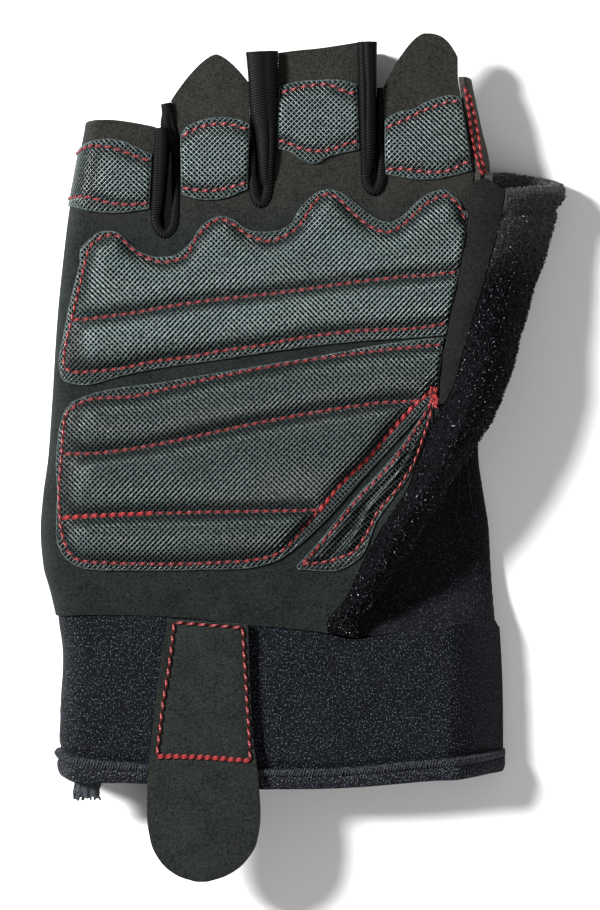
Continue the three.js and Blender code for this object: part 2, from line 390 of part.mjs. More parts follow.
// Knit wall: an upright rounded band swept along the U.
function fourchette(s) {
  const path = slitPath(s, GAP / 2 + KNIT / 2, s.topA, s.topB, 4, 8), n = path.length;
  const z0 = BACK + GAP, z1 = s.z, h = KNIT / 2;
  const sec = [[-h, z0], [h, z0], [h, z1 - 1.1], [h * 0.7, z1 - 0.3], [0, z1], [-h * 0.7, z1 - 0.3], [-h, z1 - 1.1]];
  const pos = [], idx = [], m = sec.length;
  for (let i = 0; i < n; i++) {
    const a = path[Math.max(0, i - 1)], b = path[Math.min(n - 1, i + 1)];
    const dx = b[0] - a[0], dy = b[1] - a[1], l = Math.hypot(dx, dy);
    for (const [o, z] of sec) pos.push(path[i][0] - (dy / l) * o - CENTRE.x, path[i][1] + (dx / l) * o - CENTRE.y, z);
  }
  for (let i = 0; i < n - 1; i++) for (let k = 0; k < m; k++) {
    const a = i * m + k, b = i * m + (k + 1) % m, c = a + m, d = b + m;
    idx.push(a, b, d, a, d, c);
  }
  for (let k = 1; k < m - 1; k++) { idx.push(0, k + 1, k); idx.push((n - 1) * m, (n - 1) * m + k, (n - 1) * m + k + 1); }
  return solid(pos, idx);
}
// Mesh patch: padded sheet lying on the palm between its two edge curves.
function patch(q) {
  const rows = (a) => a.map(([x, y]) => ({ x, y }));
  const hi = reader(rows(q.t), 'x', 'y'), lo = reader(rows(q.b), 'x', 'y');
  const x0 = Math.max(q.t[0][0], q.b[0][0]), x1 = Math.min(q.t.at(-1)[0], q.b.at(-1)[0]);
  const base = (u, v) => {
    const x = mix(x0, x1, 0.5 - 0.5 * Math.cos(Math.PI * mix(0.0, 1, u)) * 0.35 - 0.5 * 0.65 * (1 - 2 * u));
    const a = lo(x), b = Math.max(hi(x), a + 0.6);
    const y = mix(a, b, v);
    return new THREE.Vector3(x, y, palmZ(x, y) + GAP + 0.15);
  };
  const top = (u, v) => {
    const p = base(u, v);
    p.z += MESH + PUFF * Math.sin(Math.PI * clamp(u)) * Math.sin(Math.PI * clamp(v));
    return p;
  };
  return sheet(q.cols, q.rows, top, base);
}
// Cuff contour: left side, top, long slope to the right fold, flat underside.
const CUFF_COLS = 40, CUFF_STEP = 1.25;   // sampled every 1.25 steps
function cuffPoint(u, y, t, lift = 0) {
  const c = (u % 1) * CUFF_COLS, xl = cuff.xl(y) - lift, xr = cuff.xr(y) + lift, top = cuff.top(y) + lift;
  const zl = 6.8, zr = 3.4, aL = 6.5, aR = 13, floor = t;
  if (c < 6) {
    const a = rad((c / 6) * 90);
    return [xl + t + (aL - t) * (1 - pw(Math.cos(a))), zl + (top - t - zl) * pw(Math.sin(a))];
  }
  if (c < 16) return [mix(xl + aL, xr - aR, (c - 6) / 10), top - t];
  if (c < 22) {
    const s = (22 - c) / 6;
    return [mix(xr - t * 1.25, xr - aR, s), zr + (top - t - zr) * (1 - Math.pow(1 - s, 1.6))];
  }
  if (c < 25) {
    const a = rad(((c - 22) / 3) * -90);
    return [xr - t * 1.25 - (5 - t * 1.25) * (1 - Math.cos(a)), zr + (zr - floor) * Math.sin(a)];
  }
  if (c < 36) return [mix(xr - 5, xl + 6, (c - 25) / 11), floor];
  const a = rad(-90 + ((c - 36) / 4) * 90);
  return [xl + t + (6 - t) * (1 - Math.cos(a)), zl + (zl - floor) * Math.sin(a)];
}
// How far round a cuff point is toward the underside, 0 on top to 1 below.
function under(u) {
  const c = (u % 1) * CUFF_COLS;
  if (c <= 20) return ease((4 - c) / 8);
  return c < 26 ? ease((c - 20) / 5) : c < 36 ? 1 : mix(1, 0.5, ease((c - 36) / 4));
}
function cuffSurface(t) {
  return (u, v) => {
    const [x0] = cuffPoint(u, -68, 0);
    const hi = mix(wrist(x0) - GAP, WRIST_BACK - GAP, under(u));
    const lo = hemSeam(x0) + GAP / 2;
    const y = mix(lo, hi, v), [x, z] = cuffPoint(u, y, t);
    return new THREE.Vector3(x, y, z);
  };
}
// Hem: a fatter ring whose edge is rolled round.
function hemSurface(inner) {
  return (u, v) => {
    const [x0] = cuffPoint(u, -68, 0);
    const y = mix(hemEdge(x0), hemSeam(x0) - GAP / 2, v);
    const round = 0.5 * Math.pow(1 - clamp(v / 0.35), 2);
    const lift = HEM.lift - round, down = clamp((under(u) - 0.5) * 2);
    const t = inner ? NEOPRENE + 0.35 : 0;
    const [x, z] = cuffPoint(u, y, inner ? t - 0.0 : 0, inner ? 0 : lift * (1 - down));
    return new THREE.Vector3(x, y, inner ? z : Math.max(z, 0));
  };
}

// ---------------------------------------------------------------- pieces
const COLOURS = {
  suede: { color: 0x2d302d, roughness: 0.95, metalness: 0 },
  stretch: { color: 0x1c1c20, roughness: 0.9, metalness: 0 },
  terry: { color: 0x17171c, roughness: 0.9, metalness: 0 },
  knit: { color: 0x101114, roughness: 0.8, metalness: 0 },
  mesh: { color: 0x59686a, roughness: 0.55, metalness: 0 },
  neoprene: { color: 0x161a26, roughness: 0.85, metalness: 0 },
};
const glove = new THREE.Group();
glove.name = 'wheelchair_glove';
function add(name, geometry, colour) {
  const m = new THREE.Mesh(geometry, new THREE.MeshStandardMaterial(COLOURS[colour]));
  m.name = name;
  glove.add(m);
}

// palm suede, trimmed along the fingertips and slit between the fingers
const tips = tipEdge();
let palm = toManifold(sheet(PALM_COLS, PALM_ROWS, palmSurface(0), palmSurface(SUEDE)));
palm = palm.intersect(toManifold(prism([[-80, -60], [80, -60], [80, tips.at(-1)[1]], [42, tips.at(-1)[1]], ...tips.reverse()], -5, 40)));
for (const s of SLITS) palm = palm.subtract(toManifold(prism(slitHole(s, GAP / 2), -5, 40)));
add('palm_panel', fromManifold(palm), 'suede');

// back, cut a little short of the front, slit between the fingers
let back = toManifold(sheet(BACK_COLS, BACK_ROWS, backSurface(0), backSurface(BACK)));
const backTips = [];
for (const f of FINGERS) backTips.push([f.xl, f.back], [f.xr + (f.name === 'index' ? 8 : 0), f.back]);
back = back.intersect(toManifold(prism([[-80, -60], [80, -60], [80, FINGERS[3].back], ...backTips.reverse(), [-80, FINGERS[0].back]], -5, 40)));
for (const s of SLITS) {
  const c = (s.xa1 + s.xb1) / 2, d = (s.xa0 + s.xb0) / 2;
  back = back.subtract(toManifold(prism([[c - 0.9, s.root + 2.2], [c + 0.9, s.root + 2.2], [d + 1.0, 110], [d - 1.0, 110]], -5, 40)));
}
add('back_panel', fromManifold(back), 'stretch');

for (const s of SLITS) add(s.name, fourchette(s), 'knit');

// outer side of the index finger, from its end down to the thumb root
function sideSurface(t) {
  return (u, v) => {
    const y = mix(28.2, 85.2, v), xe = body.xe(y) + GAP, xr = body.xr(y), top = palmZ(body.xe(y), y);
    const zTop = Math.min(top - 0.15, mix(6.4, top - 0.15, clamp((y - 28.2) / 3.6)));
    const zLow = 4.55, z = mix(zTop, zLow, u), x0 = xe + SUEDE;
    const s = clamp((z - 2.4) / (top - 2.4)), x = x0 + (xr - x0) * Math.sqrt(Math.max(0, 1 - s * s)) * 0.98;
    return new THREE.Vector3(x - t, y, z);
  };
}
add('index_side_strip', sheet(4, 12, sideSurface(0), sideSurface(SUEDE)), 'suede');

// thumb: suede front strip, and terry round the rest and down to the cuff
const seamGap = 0.010;
const frontLow = () => 12.4;
const sleeveLow = (k) => wrist(mix(7, 14, clamp((k - 0.375) / 0.5))) + 0.35;
const front = thumbSurface(0.125, 0.375 - seamGap, frontLow);
add('thumb_front', sheet(6, 10, front, inset(front, SUEDE * 0.92, 0.25)), 'suede');
const sleeve = thumbSurface(0.375 + seamGap, 1, sleeveLow);
add('thumb_sleeve', sheet(12, 19, sleeve, inset(sleeve, TERRY)), 'terry');

for (const [name, q] of Object.entries(PATCHES)) add(name, patch(q), 'mesh');

add('cuff', sheet(CUFF_COLS / CUFF_STEP, 4, cuffSurface(0), cuffSurface(NEOPRENE), true), 'neoprene');
add('cuff_hem', sheet(CUFF_COLS / CUFF_STEP, 3, hemSurface(false), hemSurface(true), true), 'neoprene');

// pull tab
const tabSurface = (t) => (u, v) => {
  const y = mix(TONGUE.at(-1).y, TONGUE[0].y, Math.pow(v, 1.35)), s = mix(-1, 1, u);
  return new THREE.Vector3(tongue.xc(y) + s * tongue.hw(y), y, tongue.z(y) + GAP + t - 0.5 * s * s * ease((-76 - y) / 10));
};
add('pull_tab', sheet(6, 13, tabSurface(TAB), tabSurface(0)), 'suede');

// frayed end of the hem tape
const tail = (t) => (u, v) => new THREE.Vector3(
  mix(TAIL.x0, TAIL.x1, u), mix(TAIL.y1, TAIL.y0, v) + 0.7 * (1 - v) * Math.sin(9 * u), TAIL.z + t - 1.2 * (1 - v));
add('hem_tail', sheet(5, 2, tail(TAIL.thick), tail(0)), 'neoprene');

export default glove;
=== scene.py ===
import math

import bpy
import numpy as np
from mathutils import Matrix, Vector
from mathutils.geometry import delaunay_2d_cdt


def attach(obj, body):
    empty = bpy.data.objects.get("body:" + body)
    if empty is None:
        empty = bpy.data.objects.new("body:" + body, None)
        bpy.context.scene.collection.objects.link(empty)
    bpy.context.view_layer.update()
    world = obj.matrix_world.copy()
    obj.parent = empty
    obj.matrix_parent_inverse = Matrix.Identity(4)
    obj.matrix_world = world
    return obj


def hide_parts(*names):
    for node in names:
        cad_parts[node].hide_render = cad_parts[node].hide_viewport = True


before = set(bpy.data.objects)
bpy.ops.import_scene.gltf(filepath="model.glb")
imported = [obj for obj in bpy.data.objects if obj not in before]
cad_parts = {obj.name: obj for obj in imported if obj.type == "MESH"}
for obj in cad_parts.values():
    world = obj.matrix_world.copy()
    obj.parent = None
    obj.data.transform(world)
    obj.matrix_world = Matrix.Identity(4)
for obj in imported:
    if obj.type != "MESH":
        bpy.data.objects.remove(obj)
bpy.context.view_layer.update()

# ------------------------------------------------------------------ sizes, mm
# Tables are in the pattern's own frame; CENTRE is the middle of the glove in it.
CENTRE = (0.435, -0.2)
GAP, SUEDE, BACK, TERRY, NEOPRENE, KNIT, TAB = 0.35, 1.2, 1.3, 1.5, 1.9, 2.15, 1.4
FLOOR_ROUND, SIDE_POWER, SEAM_LOW = 5.2, 2.3, -35.0
UNROLL = 2.75                  # mm of cloth for each step round the little-finger side
CELL = 0.84                    # mesh pitch across a strand
STITCH, THREAD = 2.15, 0.53    # stitch length and thread diameter

BODY = dict(
    y=[-42, -37, -31, -25, -17, -9, 0, 7, 13, 20, 32, 45, 55, 65, 75, 86, 97],
    xl=[-54.3, -55.4, -56.8, -58.4, -59.0, -58.4, -57.2, -56.7, -56.3, -55.9, -55.1, -53.8, -52.6, -50.8, -48.9, -47.6, -46.8],
    zl=[7.0, 7.0, 7.0, 7.0, 7.0, 7.0, 7.0, 7.0, 7.0, 7.0, 7.0, 6.8, 6.6, 6.4, 6.2, 6.0, 6.0],
    al=[6.0, 6.0, 6.0, 6.2, 6.4, 6.2, 5.6, 5.4, 5.2, 5.2, 5.2, 5.0, 4.8, 4.6, 4.4, 4.2, 4.2],
    top=[16.4, 16.4, 16.5, 16.7, 16.8, 16.8, 16.7, 16.6, 16.4, 16.3, 16.2, 16.0, 15.8, 15.4, 15.0, 14.7, 14.5],
    xe=[6.0, 6.6, 10.7, 13.2, 17.4, 23.0, 26.4, 29.0, 31.8, 33.4, 35.1, 37.2, 38.7, 38.8, 37.1, 35.2, 35.2],
    xr=[45.2, 44.6, 44.1, 43.7, 43.3, 42.1, 40.9, 40.8, 40.9, 40.9, 40.7, 41.6, 42.8, 43.5, 41.5, 39.2, 37.6],
    zr=[3.4, 3.2, 2.8, 2.4, 2.3, 2.3, 2.3, 2.3, 2.4, 2.4, 2.4, 2.4, 2.4, 2.4, 2.4, 2.4, 2.4],
)
# thumb sections: under the fold, fold, top, seam, middle, edge, foot, belly, end
THUMB = dict(
    y=[-42, -38, -32, -24, -16, -8, 0, 6, 12, 16, 22, 27, 29.5, 32, 38, 45, 53, 58, 64],
    ux=[-2.0, -3.2, 0.6, 3.0, 6.8, 12.6, 16.4, 20.6, 32.9, 33.4, 34.0, 34.9, 35.3, 35.7, 36.9, 38.3, 39.6, 40.2, 40.4],
    uz=[16.4, 16.5, 16.5, 16.7, 16.8, 16.8, 16.7, 16.6, 16.9, 16.8, 16.7, 16.6, 16.6, 16.6, 16.5, 16.4, 16.2, 16.0, 15.9],
    fx=[0.5, -0.8, 3.4, 6.2, 10.2, 15.8, 19.8, 23.4, 31.3, 31.4, 31.9, 33.0, 33.4, 33.9, 35.2, 36.5, 37.7, 38.4, 38.4],
    fz=[16.5, 16.6, 16.7, 17.2, 17.3, 17.2, 17.0, 16.9, 17.5, 18.1, 18.4, 18.4, 18.4, 18.3, 18.2, 18.1, 17.9, 17.6, 17.4],
    tx=[3.6, 2.8, 7.0, 10.2, 14.4, 20.0, 23.6, 26.6, 31.8, 32.6, 33.6, 34.8, 35.3, 35.8, 37.4, 39.0, 40.4, 41.2, 41.4],
    tz=[16.7, 16.8, 17.2, 18.4, 18.8, 18.7, 17.9, 17.5, 18.2, 19.4, 20.2, 20.3, 20.3, 20.2, 20.1, 19.8, 19.4, 19.0, 18.7],
    sx=[6.9, 6.2, 10.5, 14.1, 18.5, 23.8, 26.9, 29.2, 32.5, 34.4, 36.0, 37.5, 38.2, 38.9, 40.9, 42.8, 44.9, 45.8, 46.2],
    sz=[16.9, 17.1, 17.8, 19.4, 20.2, 20.2, 19.2, 18.6, 18.9, 20.3, 21.0, 21.1, 21.0, 20.9, 20.6, 20.0, 19.4, 19.0, 18.7],
    mx=[9.6, 9.5, 14.0, 18.8, 23.7, 28.6, 33.1, 36.0, 38.6, 40.0, 42.0, 43.4, 44.3, 45.4, 47.6, 49.8, 52.0, 53.2, 53.8],
    mz=[16.9, 17.3, 18.4, 20.2, 21.4, 22.3, 22.7, 22.7, 22.6, 22.5, 22.2, 21.4, 20.6, 19.8, 18.4, 16.8, 15.4, 14.8, 14.4],
    ex=[12.3, 12.5, 17.1, 22.7, 28.0, 32.9, 38.3, 42.1, 45.0, 46.5, 48.6, 50.1, 50.9, 51.8, 53.4, 55.8, 58.2, 59.5, 60.2],
    ez=[16.4, 15.4, 14.6, 15.0, 15.6, 16.0, 16.0, 15.8, 15.6, 15.2, 14.2, 12.4, 11.0, 9.4, 7.4, 6.0, 4.9, 4.5, 4.4],
    ox=[12.8, 12.8, 16.8, 22.1, 27.3, 32.1, 37.4, 41.2, 43.8, 45.0, 46.8, 48.2, 48.9, 49.4, 50.9, 53.0, 55.2, 56.4, 57.0],
    oz=[15.6, 14.2, 11.8, 10.8, 10.4, 10.6, 11.0, 11.0, 11.2, 10.4, 8.6, 6.2, 4.6, 3.4, 2.6, 2.2, 2.0, 1.9, 1.9],
    bx=[12.6, 12.4, 15.8, 21.2, 26.3, 31.0, 36.0, 39.9, 42.4, 43.3, 44.8, 45.6, 45.6, 43.9, 44.4, 45.3, 46.4, 46.9, 47.1],
    bz=[14.8, 13.2, 10.2, 8.6, 7.8, 7.6, 8.0, 8.3, 8.6, 7.8, 6.2, 4.8, 5.6, 7.3, 6.2, 5.2, 4.7, 4.6, 4.5],
    jx=[12.0, 11.7, 14.8, 20.0, 25.0, 29.6, 34.4, 38.5, 41.0, 41.6, 42.4, 42.9, 42.1, 37.2, 38.4, 39.8, 41.1, 41.7, 41.9],
    jz=[14.2, 12.6, 9.0, 6.9, 5.8, 5.4, 5.6, 6.0, 6.5, 5.8, 4.9, 5.3, 10.6, 16.7, 16.6, 16.5, 16.1, 15.9, 15.8],
)
MOUTH = [61.6, 61.0, 62.0, 59.4, 60.3, 61.6, 62.8, 64.0, 63.0]
FLAP = dict(
    y=[-42, -38, -34, -30, -24, -16, -8, 0, 6, 12, 18, 27, 97],
    kx=[12.6, 12.4, 14.1, 17.0, 20.6, 25.6, 30.2, 35.0, 39.0, 41.1, 41.5, 41.1, 41.1],
    kz=[13.8, 12.2, 9.7, 7.6, 6.3, 5.2, 4.9, 5.0, 5.3, 5.6, 4.9, 4.2, 4.2],
    fw=[9.0, 8.6, 7.0, 5.6, 4.2, 3.6, 3.4, 2.8, 1.2, 0.35, 0.2, 0.2, 0.2],
    fz=[12.4, 11.0, 8.6, 6.4, 5.2, 4.8, 4.7, 4.6, 4.5, 4.6, 4.0, 3.6, 3.6],
)
WRIST = dict(x=[-62, -44, -28, -13, -2, 5, 12.5, 19, 26, 35, 50], y=[-36.6, -35.9, -36.4, -38.1, -39.0, -39.8, -41.5, -40.7, -39.2, -38.0, -37.2])
WRIST_BACK = -37.0
FINGERS = {
    "pinky": dict(xl=-64, yl=74.6, xp=-43.0, yp=75.5, xr=-31.6, yr=73.7, pl=2.0, pr=1.4, back=72.4),
    "ring": dict(xl=-29.2, yl=79.7, xp=-18.9, yp=90.3, xr=-11.3, yr=83.6, pl=1.5, pr=1.5, back=78.0),
    "middle": dict(xl=-5.0, yl=90.6, xp=2.0, yp=91.4, xr=13.0, yr=93.0, pl=1.2, pr=1.2, back=86.5),
    "index": dict(xl=18.6, yl=82.4, xp=28.1, yp=95.0, xr=37.8, yr=83.4, pl=1.6, pr=2.9, back=82.0),
}
SLITS = {
    "fourchette_pinky_ring": dict(xa0=-32.5, xa1=-33.6, xb0=-29.1, xb1=-27.0, kneeB=71.0, kneeX=-26.8, root=48.6, round=5.2, topA=73.6, topB=79.4, z=16.2),
    "fourchette_ring_middle": dict(xa0=-11.2, xa1=-11.5, xb0=-4.9, xb1=-5.9, kneeB=74.0, kneeX=-5.1, root=55.4, round=5.0, topA=90.4, topB=90.6, z=16.4),
    "fourchette_middle_index": dict(xa0=12.9, xa1=13.8, xb0=18.7, xb1=19.5, kneeB=70.0, kneeX=18.9, root=58.3, round=4.4, topA=92.8, topB=82.8, z=16.3),
}
CUFF = dict(y=[-77, -72, -63, -54, -46, -38, -34], xl=[-54.4, -54.7, -54.6, -54.3, -54.0, -54.9, -55.2],
            xr=[46.3, 46.5, 46.5, 46.4, 46.1, 45.6, 45.4], top=[16.6, 16.6, 16.2, 16.0, 15.9, 15.9, 15.9])
HEM_SEAM = dict(x=[-56, -45, -9, 3, 30, 48], y=[-66.4, -68.4, -70.4, -70.4, -68.3, -67.0])
HEM_EDGE = dict(x=[-56, -50, -34, -9, 3, 30, 48], y=[-72.0, -73.6, -73.8, -75.1, -75.1, -73.3, -72.2])
TONGUE = dict(y=[-95.4, -94.2, -91.0, -86.5, -80.5, -70.5, -64.0, -52.0, -37.9],
              xc=[-22.0, -21.9, -21.7, -21.5, -21.5, -21.8, -21.9, -21.6, -20.8],
              hw=[1.4, 5.2, 9.4, 11.9, 12.7, 12.2, 11.4, 10.4, 9.1],
              z=[18.6, 18.6, 18.6, 18.5, 18.2, 17.5, 17.0, 16.5, 16.4])

# Sewing pattern: knots of cut edges and seams, left to right or top to bottom.
CUTS = {
    "pad_pinky": dict(top=[(-49.9, 69.3), (-48.2, 70.0), (-44.8, 70.9), (-42.2, 70.9), (-33.5, 67.6)],
                      low=[(-52.2, 56.4), (-47.1, 55.0), (-41.5, 54.5), (-34.1, 55.4)]),
    "pad_ring": dict(top=[(-26.7, 71.9), (-25.3, 73.8), (-23.5, 74.7), (-19.1, 75.8), (-16.8, 75.9), (-14.6, 75.6), (-11.6, 74.4)],
                     low=[(-26.4, 58.6), (-22.4, 57.5), (-20.2, 57.4), (-17.5, 57.7), (-12.0, 59.8)]),
    "pad_middle": dict(top=[(-4.6, 82.8), (0.0, 84.0), (3.4, 84.2), (10.1, 84.1), (12.7, 83.3)],
                       low=[(-4.9, 69.0), (-1.6, 67.9), (-0.2, 66.8), (4.0, 65.7), (5.6, 66.8), (9.0, 67.9), (13.2, 68.8)]),
    "pad_index": dict(top=[(19.3, 75.2), (20.2, 76.0), (22.4, 77.1), (25.8, 77.8), (28.0, 79.1), (30.3, 80.0), (33.8, 80.8), (36.0, 80.6)],
                      low=[(19.4, 63.2), (28.0, 62.0), (29.8, 62.1), (38.5, 64.0)]),
    "upper_palm_pad": dict(
        top=[(-49.3, 43.3), (-49.2, 46.0), (-47.1, 48.4), (-44.8, 50.0), (-42.2, 50.2), (-35.9, 45.5), (-33.6, 44.6), (-30.3, 44.4), (-28.0, 44.8),
             (-25.3, 46.8), (-21.3, 52.0), (-19.5, 53.1), (-17.5, 53.6), (-14.6, 52.5), (-11.7, 50.5), (-8.5, 50.0), (-5.6, 50.2), (-3.8, 50.7),
             (-2.0, 51.9), (0.0, 55.2), (1.6, 57.0), (4.5, 59.2), (6.7, 59.6), (8.3, 59.2), (16.1, 53.6), (17.9, 52.6), (20.2, 52.2), (22.0, 52.9),
             (26.9, 57.2), (28.7, 58.5), (30.7, 59.3), (32.5, 59.5), (34.3, 58.4), (36.0, 56.4), (36.5, 55.0)],
        low=[(-50.6, 15.9), (-48.2, 15.7), (-44.8, 16.4), (-43.0, 17.0), (-15.7, 22.0), (-2.2, 24.1), (15.7, 26.0), (29.1, 26.8), (32.5, 27.1)],
        left=[(-52.7, 28.0), (-53.8, 19.1), (-53.1, 17.0)]),
    "lower_palm_pad": dict(
        top=[(-53.9, 5.9), (-52.2, 10.5), (-50.9, 11.9), (-49.3, 12.6), (-29.1, 16.4), (0.0, 21.3), (29.1, 26.0), (32.2, 26.2)],
        low=[(-44.3, -25.8), (-22.3, -25.6), (-8.3, -24.6), (-4.7, -23.3), (-1.4, -21.0), (4.5, -15.7), (13.6, -5.6), (22.6, 4.2), (29.4, 11.6)],
        left=[(-54.5, -1.1), (-54.3, -9.0), (-54.5, -15.0), (-54.1, -20.2), (-52.3, -23.3), (-49.5, -25.0)]),
    "thumb_base_pad": dict(top=[(-0.6, -25.0), (4.4, -19.5), (8.8, -14.2), (12.9, -9.2), (17.0, -5.0), (20.6, -1.0), (28.6, 10.2)],
                           low=[(-0.4, -25.6), (9.6, -25.4), (13.2, -23.2), (17.6, -14.2), (20.9, -9.6), (24.6, -4.4), (26.6, 0.8), (28.9, 7.6)]),
}
SEAMS = {
    "pad_pinky": dict(top=[(-50.2, 68.3), (-48.9, 68.8), (-46.6, 69.5), (-44.8, 69.4), (-33.8, 66.0)], low=[(-52.0, 58.0), (-49.3, 58.1), (-41.5, 56.4), (-39.2, 56.2), (-34.0, 56.5)]),
    "pad_ring": dict(top=[(-26.6, 71.5), (-22.4, 73.7), (-20.2, 74.2), (-17.9, 74.4), (-15.7, 74.3), (-11.7, 73.1)], low=[(-26.5, 60.1), (-23.5, 59.5), (-18.6, 59.5), (-12.0, 61.1)]),
    "pad_middle": dict(top=[(-4.6, 81.4), (2.2, 83.0), (6.3, 83.3), (9.6, 81.9), (11.2, 81.4), (12.7, 81.4)], low=[(-5.0, 70.7), (-3.4, 70.4), (0.0, 68.9), (1.8, 68.5), (6.7, 68.5), (10.1, 69.8), (13.2, 70.5)]),
    "pad_index": dict(top=[(19.3, 73.5), (25.1, 76.0), (26.9, 77.0), (31.4, 78.7), (33.6, 79.4), (35.8, 79.4)], low=[(19.4, 64.2), (23.5, 64.2), (29.8, 63.5), (35.2, 64.6), (36.5, 65.5), (38.1, 65.8)]),
    "upper_palm_pad": dict(
        top=[(-48.0, 44.2), (-47.4, 46.0), (-46.4, 47.5), (-45.3, 48.4), (-43.7, 49.1), (-41.7, 49.4), (-37.0, 45.7), (-33.6, 43.9), (-31.8, 43.4), (-30.3, 43.3), (-28.5, 43.6),
             (-25.3, 44.8), (-24.0, 47.5), (-20.0, 52.0), (-18.6, 52.9), (-17.5, 52.9), (-11.2, 49.1), (-9.4, 48.4), (-7.6, 48.0), (-5.8, 48.2), (-3.4, 49.1), (-0.7, 50.9),
             (3.8, 57.2), (5.2, 58.3), (6.7, 58.6), (8.3, 57.8), (11.2, 54.9), (16.4, 51.0), (19.7, 50.0), (21.3, 50.4), (22.9, 51.5), (29.8, 57.2), (31.6, 57.9), (33.2, 58.1), (34.8, 57.0), (35.9, 55.6), (37.0, 52.5)],
        left=[(-48.0, 44.2), (-50.9, 31.4), (-52.7, 21.7), (-52.7, 20.0), (-51.8, 19.1), (-49.3, 18.7)],
        low=[(-49.3, 18.7), (-39.2, 19.8), (-35.9, 20.6), (-22.4, 22.6), (-17.9, 23.5), (-9.0, 24.7), (-2.2, 26.0), (11.2, 27.8), (29.1, 28.9), (33.0, 29.6)],
        middle=[(-51.1, 30.3), (-48.2, 30.5), (-22.4, 34.4), (-9.0, 35.9), (24.7, 40.1), (29.1, 40.4), (35.2, 41.1)]),
    "lower_palm_pad": dict(
        top=[(-52.7, 8.3), (-51.6, 10.1), (-50.2, 11.1), (-35.9, 13.3), (-29.1, 15.0), (24.7, 24.0), (32.0, 24.7)],
        left=[(-52.7, 8.3), (-53.3, 0.0), (-53.9, -11.4), (-52.9, -19.3), (-51.9, -21.7), (-50.3, -23.2), (-47.1, -24.0)],
        low=[(-47.1, -24.0), (-42.4, -24.2), (-16.3, -24.0), (-10.3, -23.5), (-6.7, -22.8), (4.2, -12.6)],
        diagonal=[(30.2, 15.1), (22.4, 7.4), (13.5, -2.5), (11.2, -4.5), (4.2, -12.6)],
        upper=[(-52.9, 0.2), (-47.1, 0.3), (-26.9, 3.4), (-20.2, 4.9), (13.5, 11.1), (17.9, 11.7), (26.6, 11.9)],
        lower=[(-53.4, -14.1), (-43.0, -13.5), (4.2, -12.4)]),
    "thumb_base_pad": dict(
        left=[(0.4, -24.6), (4.9, -19.9), (8.9, -15.2), (13.0, -10.0), (17.0, -6.0), (20.4, -2.4), (27.4, 7.8), (29.8, 11.6)],
        low=[(12.6, -21.7), (8.0, -23.5), (0.4, -24.6)],
        right=[(30.4, 12.0), (28.4, 5.6), (25.4, -2.4), (23.4, -5.8), (19.6, -10.7), (17.2, -13.7), (16.4, -15.6), (12.6, -21.7)]),
}
INDEX_ROWS = [[(37.0, 83.0), (39.9, 66.1), (40.6, 63.9), (41.2, 62.8)], [(37.9, 81.8), (39.9, 72.9), (41.0, 65.7), (42.0, 62.8)]]


# ------------------------------------------------------------------ curves
def reader(x, f):
    """Smooth monotone reading of one column of a table."""
    x, f = np.asarray(x, float), np.asarray(f, float)
    h, d = np.diff(x), np.diff(f) / np.diff(x)
    m = np.zeros(len(x))
    m[0], m[-1] = d[0], d[-1]
    for i in range(1, len(x) - 1):
        if d[i - 1] * d[i] > 0:
            a, b = 2 * h[i] + h[i - 1], h[i] + 2 * h[i - 1]
            m[i] = (a + b) / (a / d[i - 1] + b / d[i])

    def read(t):
        t = np.clip(np.asarray(t, float), x[0], x[-1])
        i = np.clip(np.searchsorted(x, t, side="left") - 1, 0, len(x) - 2)
        s = (t - x[i]) / h[i]
        return ((2 * s**3 - 3 * s**2 + 1) * f[i] + (s**3 - 2 * s**2 + s) * h[i] * m[i]
                + (3 * s**2 - 2 * s**3) * f[i + 1] + (s**3 - s**2) * h[i] * m[i + 1])
    return read


def readers(rows, by="y"):
    return {k: reader(rows[by], v) for k, v in rows.items() if k != by}


body, thumb, flap, cuff, tongue = (readers(t) for t in (BODY, THUMB, FLAP, CUFF, TONGUE))
wrist, hem_seam, hem_edge = (reader(t["x"], t["y"]) for t in (WRIST, HEM_SEAM, HEM_EDGE))
rim = reader([k / 8 for k in range(9)], MOUTH)
mix = lambda a, b, t: a + (b - a) * t
clamp = lambda t, a=0.0, b=1.0: np.minimum(b, np.maximum(a, t))
ease = lambda t: clamp(t) ** 2 * (3 - 2 * clamp(t))
pw = lambda c: np.sign(c) * np.abs(c) ** (2 / SIDE_POWER)


def lattice(seed):
    return np.random.default_rng(seed).uniform(-1, 1, (64, 64))


def noise(x, y, size, seed):
    """Smooth cloth unevenness, -1 to 1, with features about size mm across."""
    g = lattice(seed)
    u, v = np.asarray(x, float) / size + 31.7, np.asarray(y, float) / size + 17.3
    i, j = np.floor(u).astype(int), np.floor(v).astype(int)
    a, b = ease(u - i), ease(v - j)
    at = lambda p, q: g[p % 64, q % 64]
    return mix(mix(at(i, j), at(i + 1, j), a), mix(at(i, j + 1), at(i + 1, j + 1), a), b)


def spline(knots, step=0.4, tension=0.5):
    """Evenly spaced points on a smooth curve through the knots."""
    k = np.asarray(knots, float)
    if len(k) == 2:
        n = max(2, int(np.linalg.norm(k[1] - k[0]) / step))
        return k[0] + (k[1] - k[0]) * np.linspace(0, 1, n + 1)[:, None]
    p = np.vstack([2 * k[0] - k[1], k, 2 * k[-1] - k[-2]])
    out = []
    for i in range(1, len(p) - 2):
        a, b, c, d = p[i - 1], p[i], p[i + 1], p[i + 2]
        la, lb, lc = (max(np.linalg.norm(q), 1e-6) for q in (b - a, c - b, d - c))
        m1 = ((c - b) / lb * la + (b - a) / la * lb) / (la + lb) * lb
        m2 = ((d - c) / lc * lb + (c - b) / lb * lc) / (lb + lc) * lb
        t = np.linspace(0, 1, 13)[:-1, None]
        out.append((2 * t**3 - 3 * t**2 + 1) * b + (t**3 - 2 * t**2 + t) * m1 + (3 * t**2 - 2 * t**3) * c + (t**3 - t**2) * m2)
    line = np.vstack(out + [p[-2][None]])
    return even(line, step)


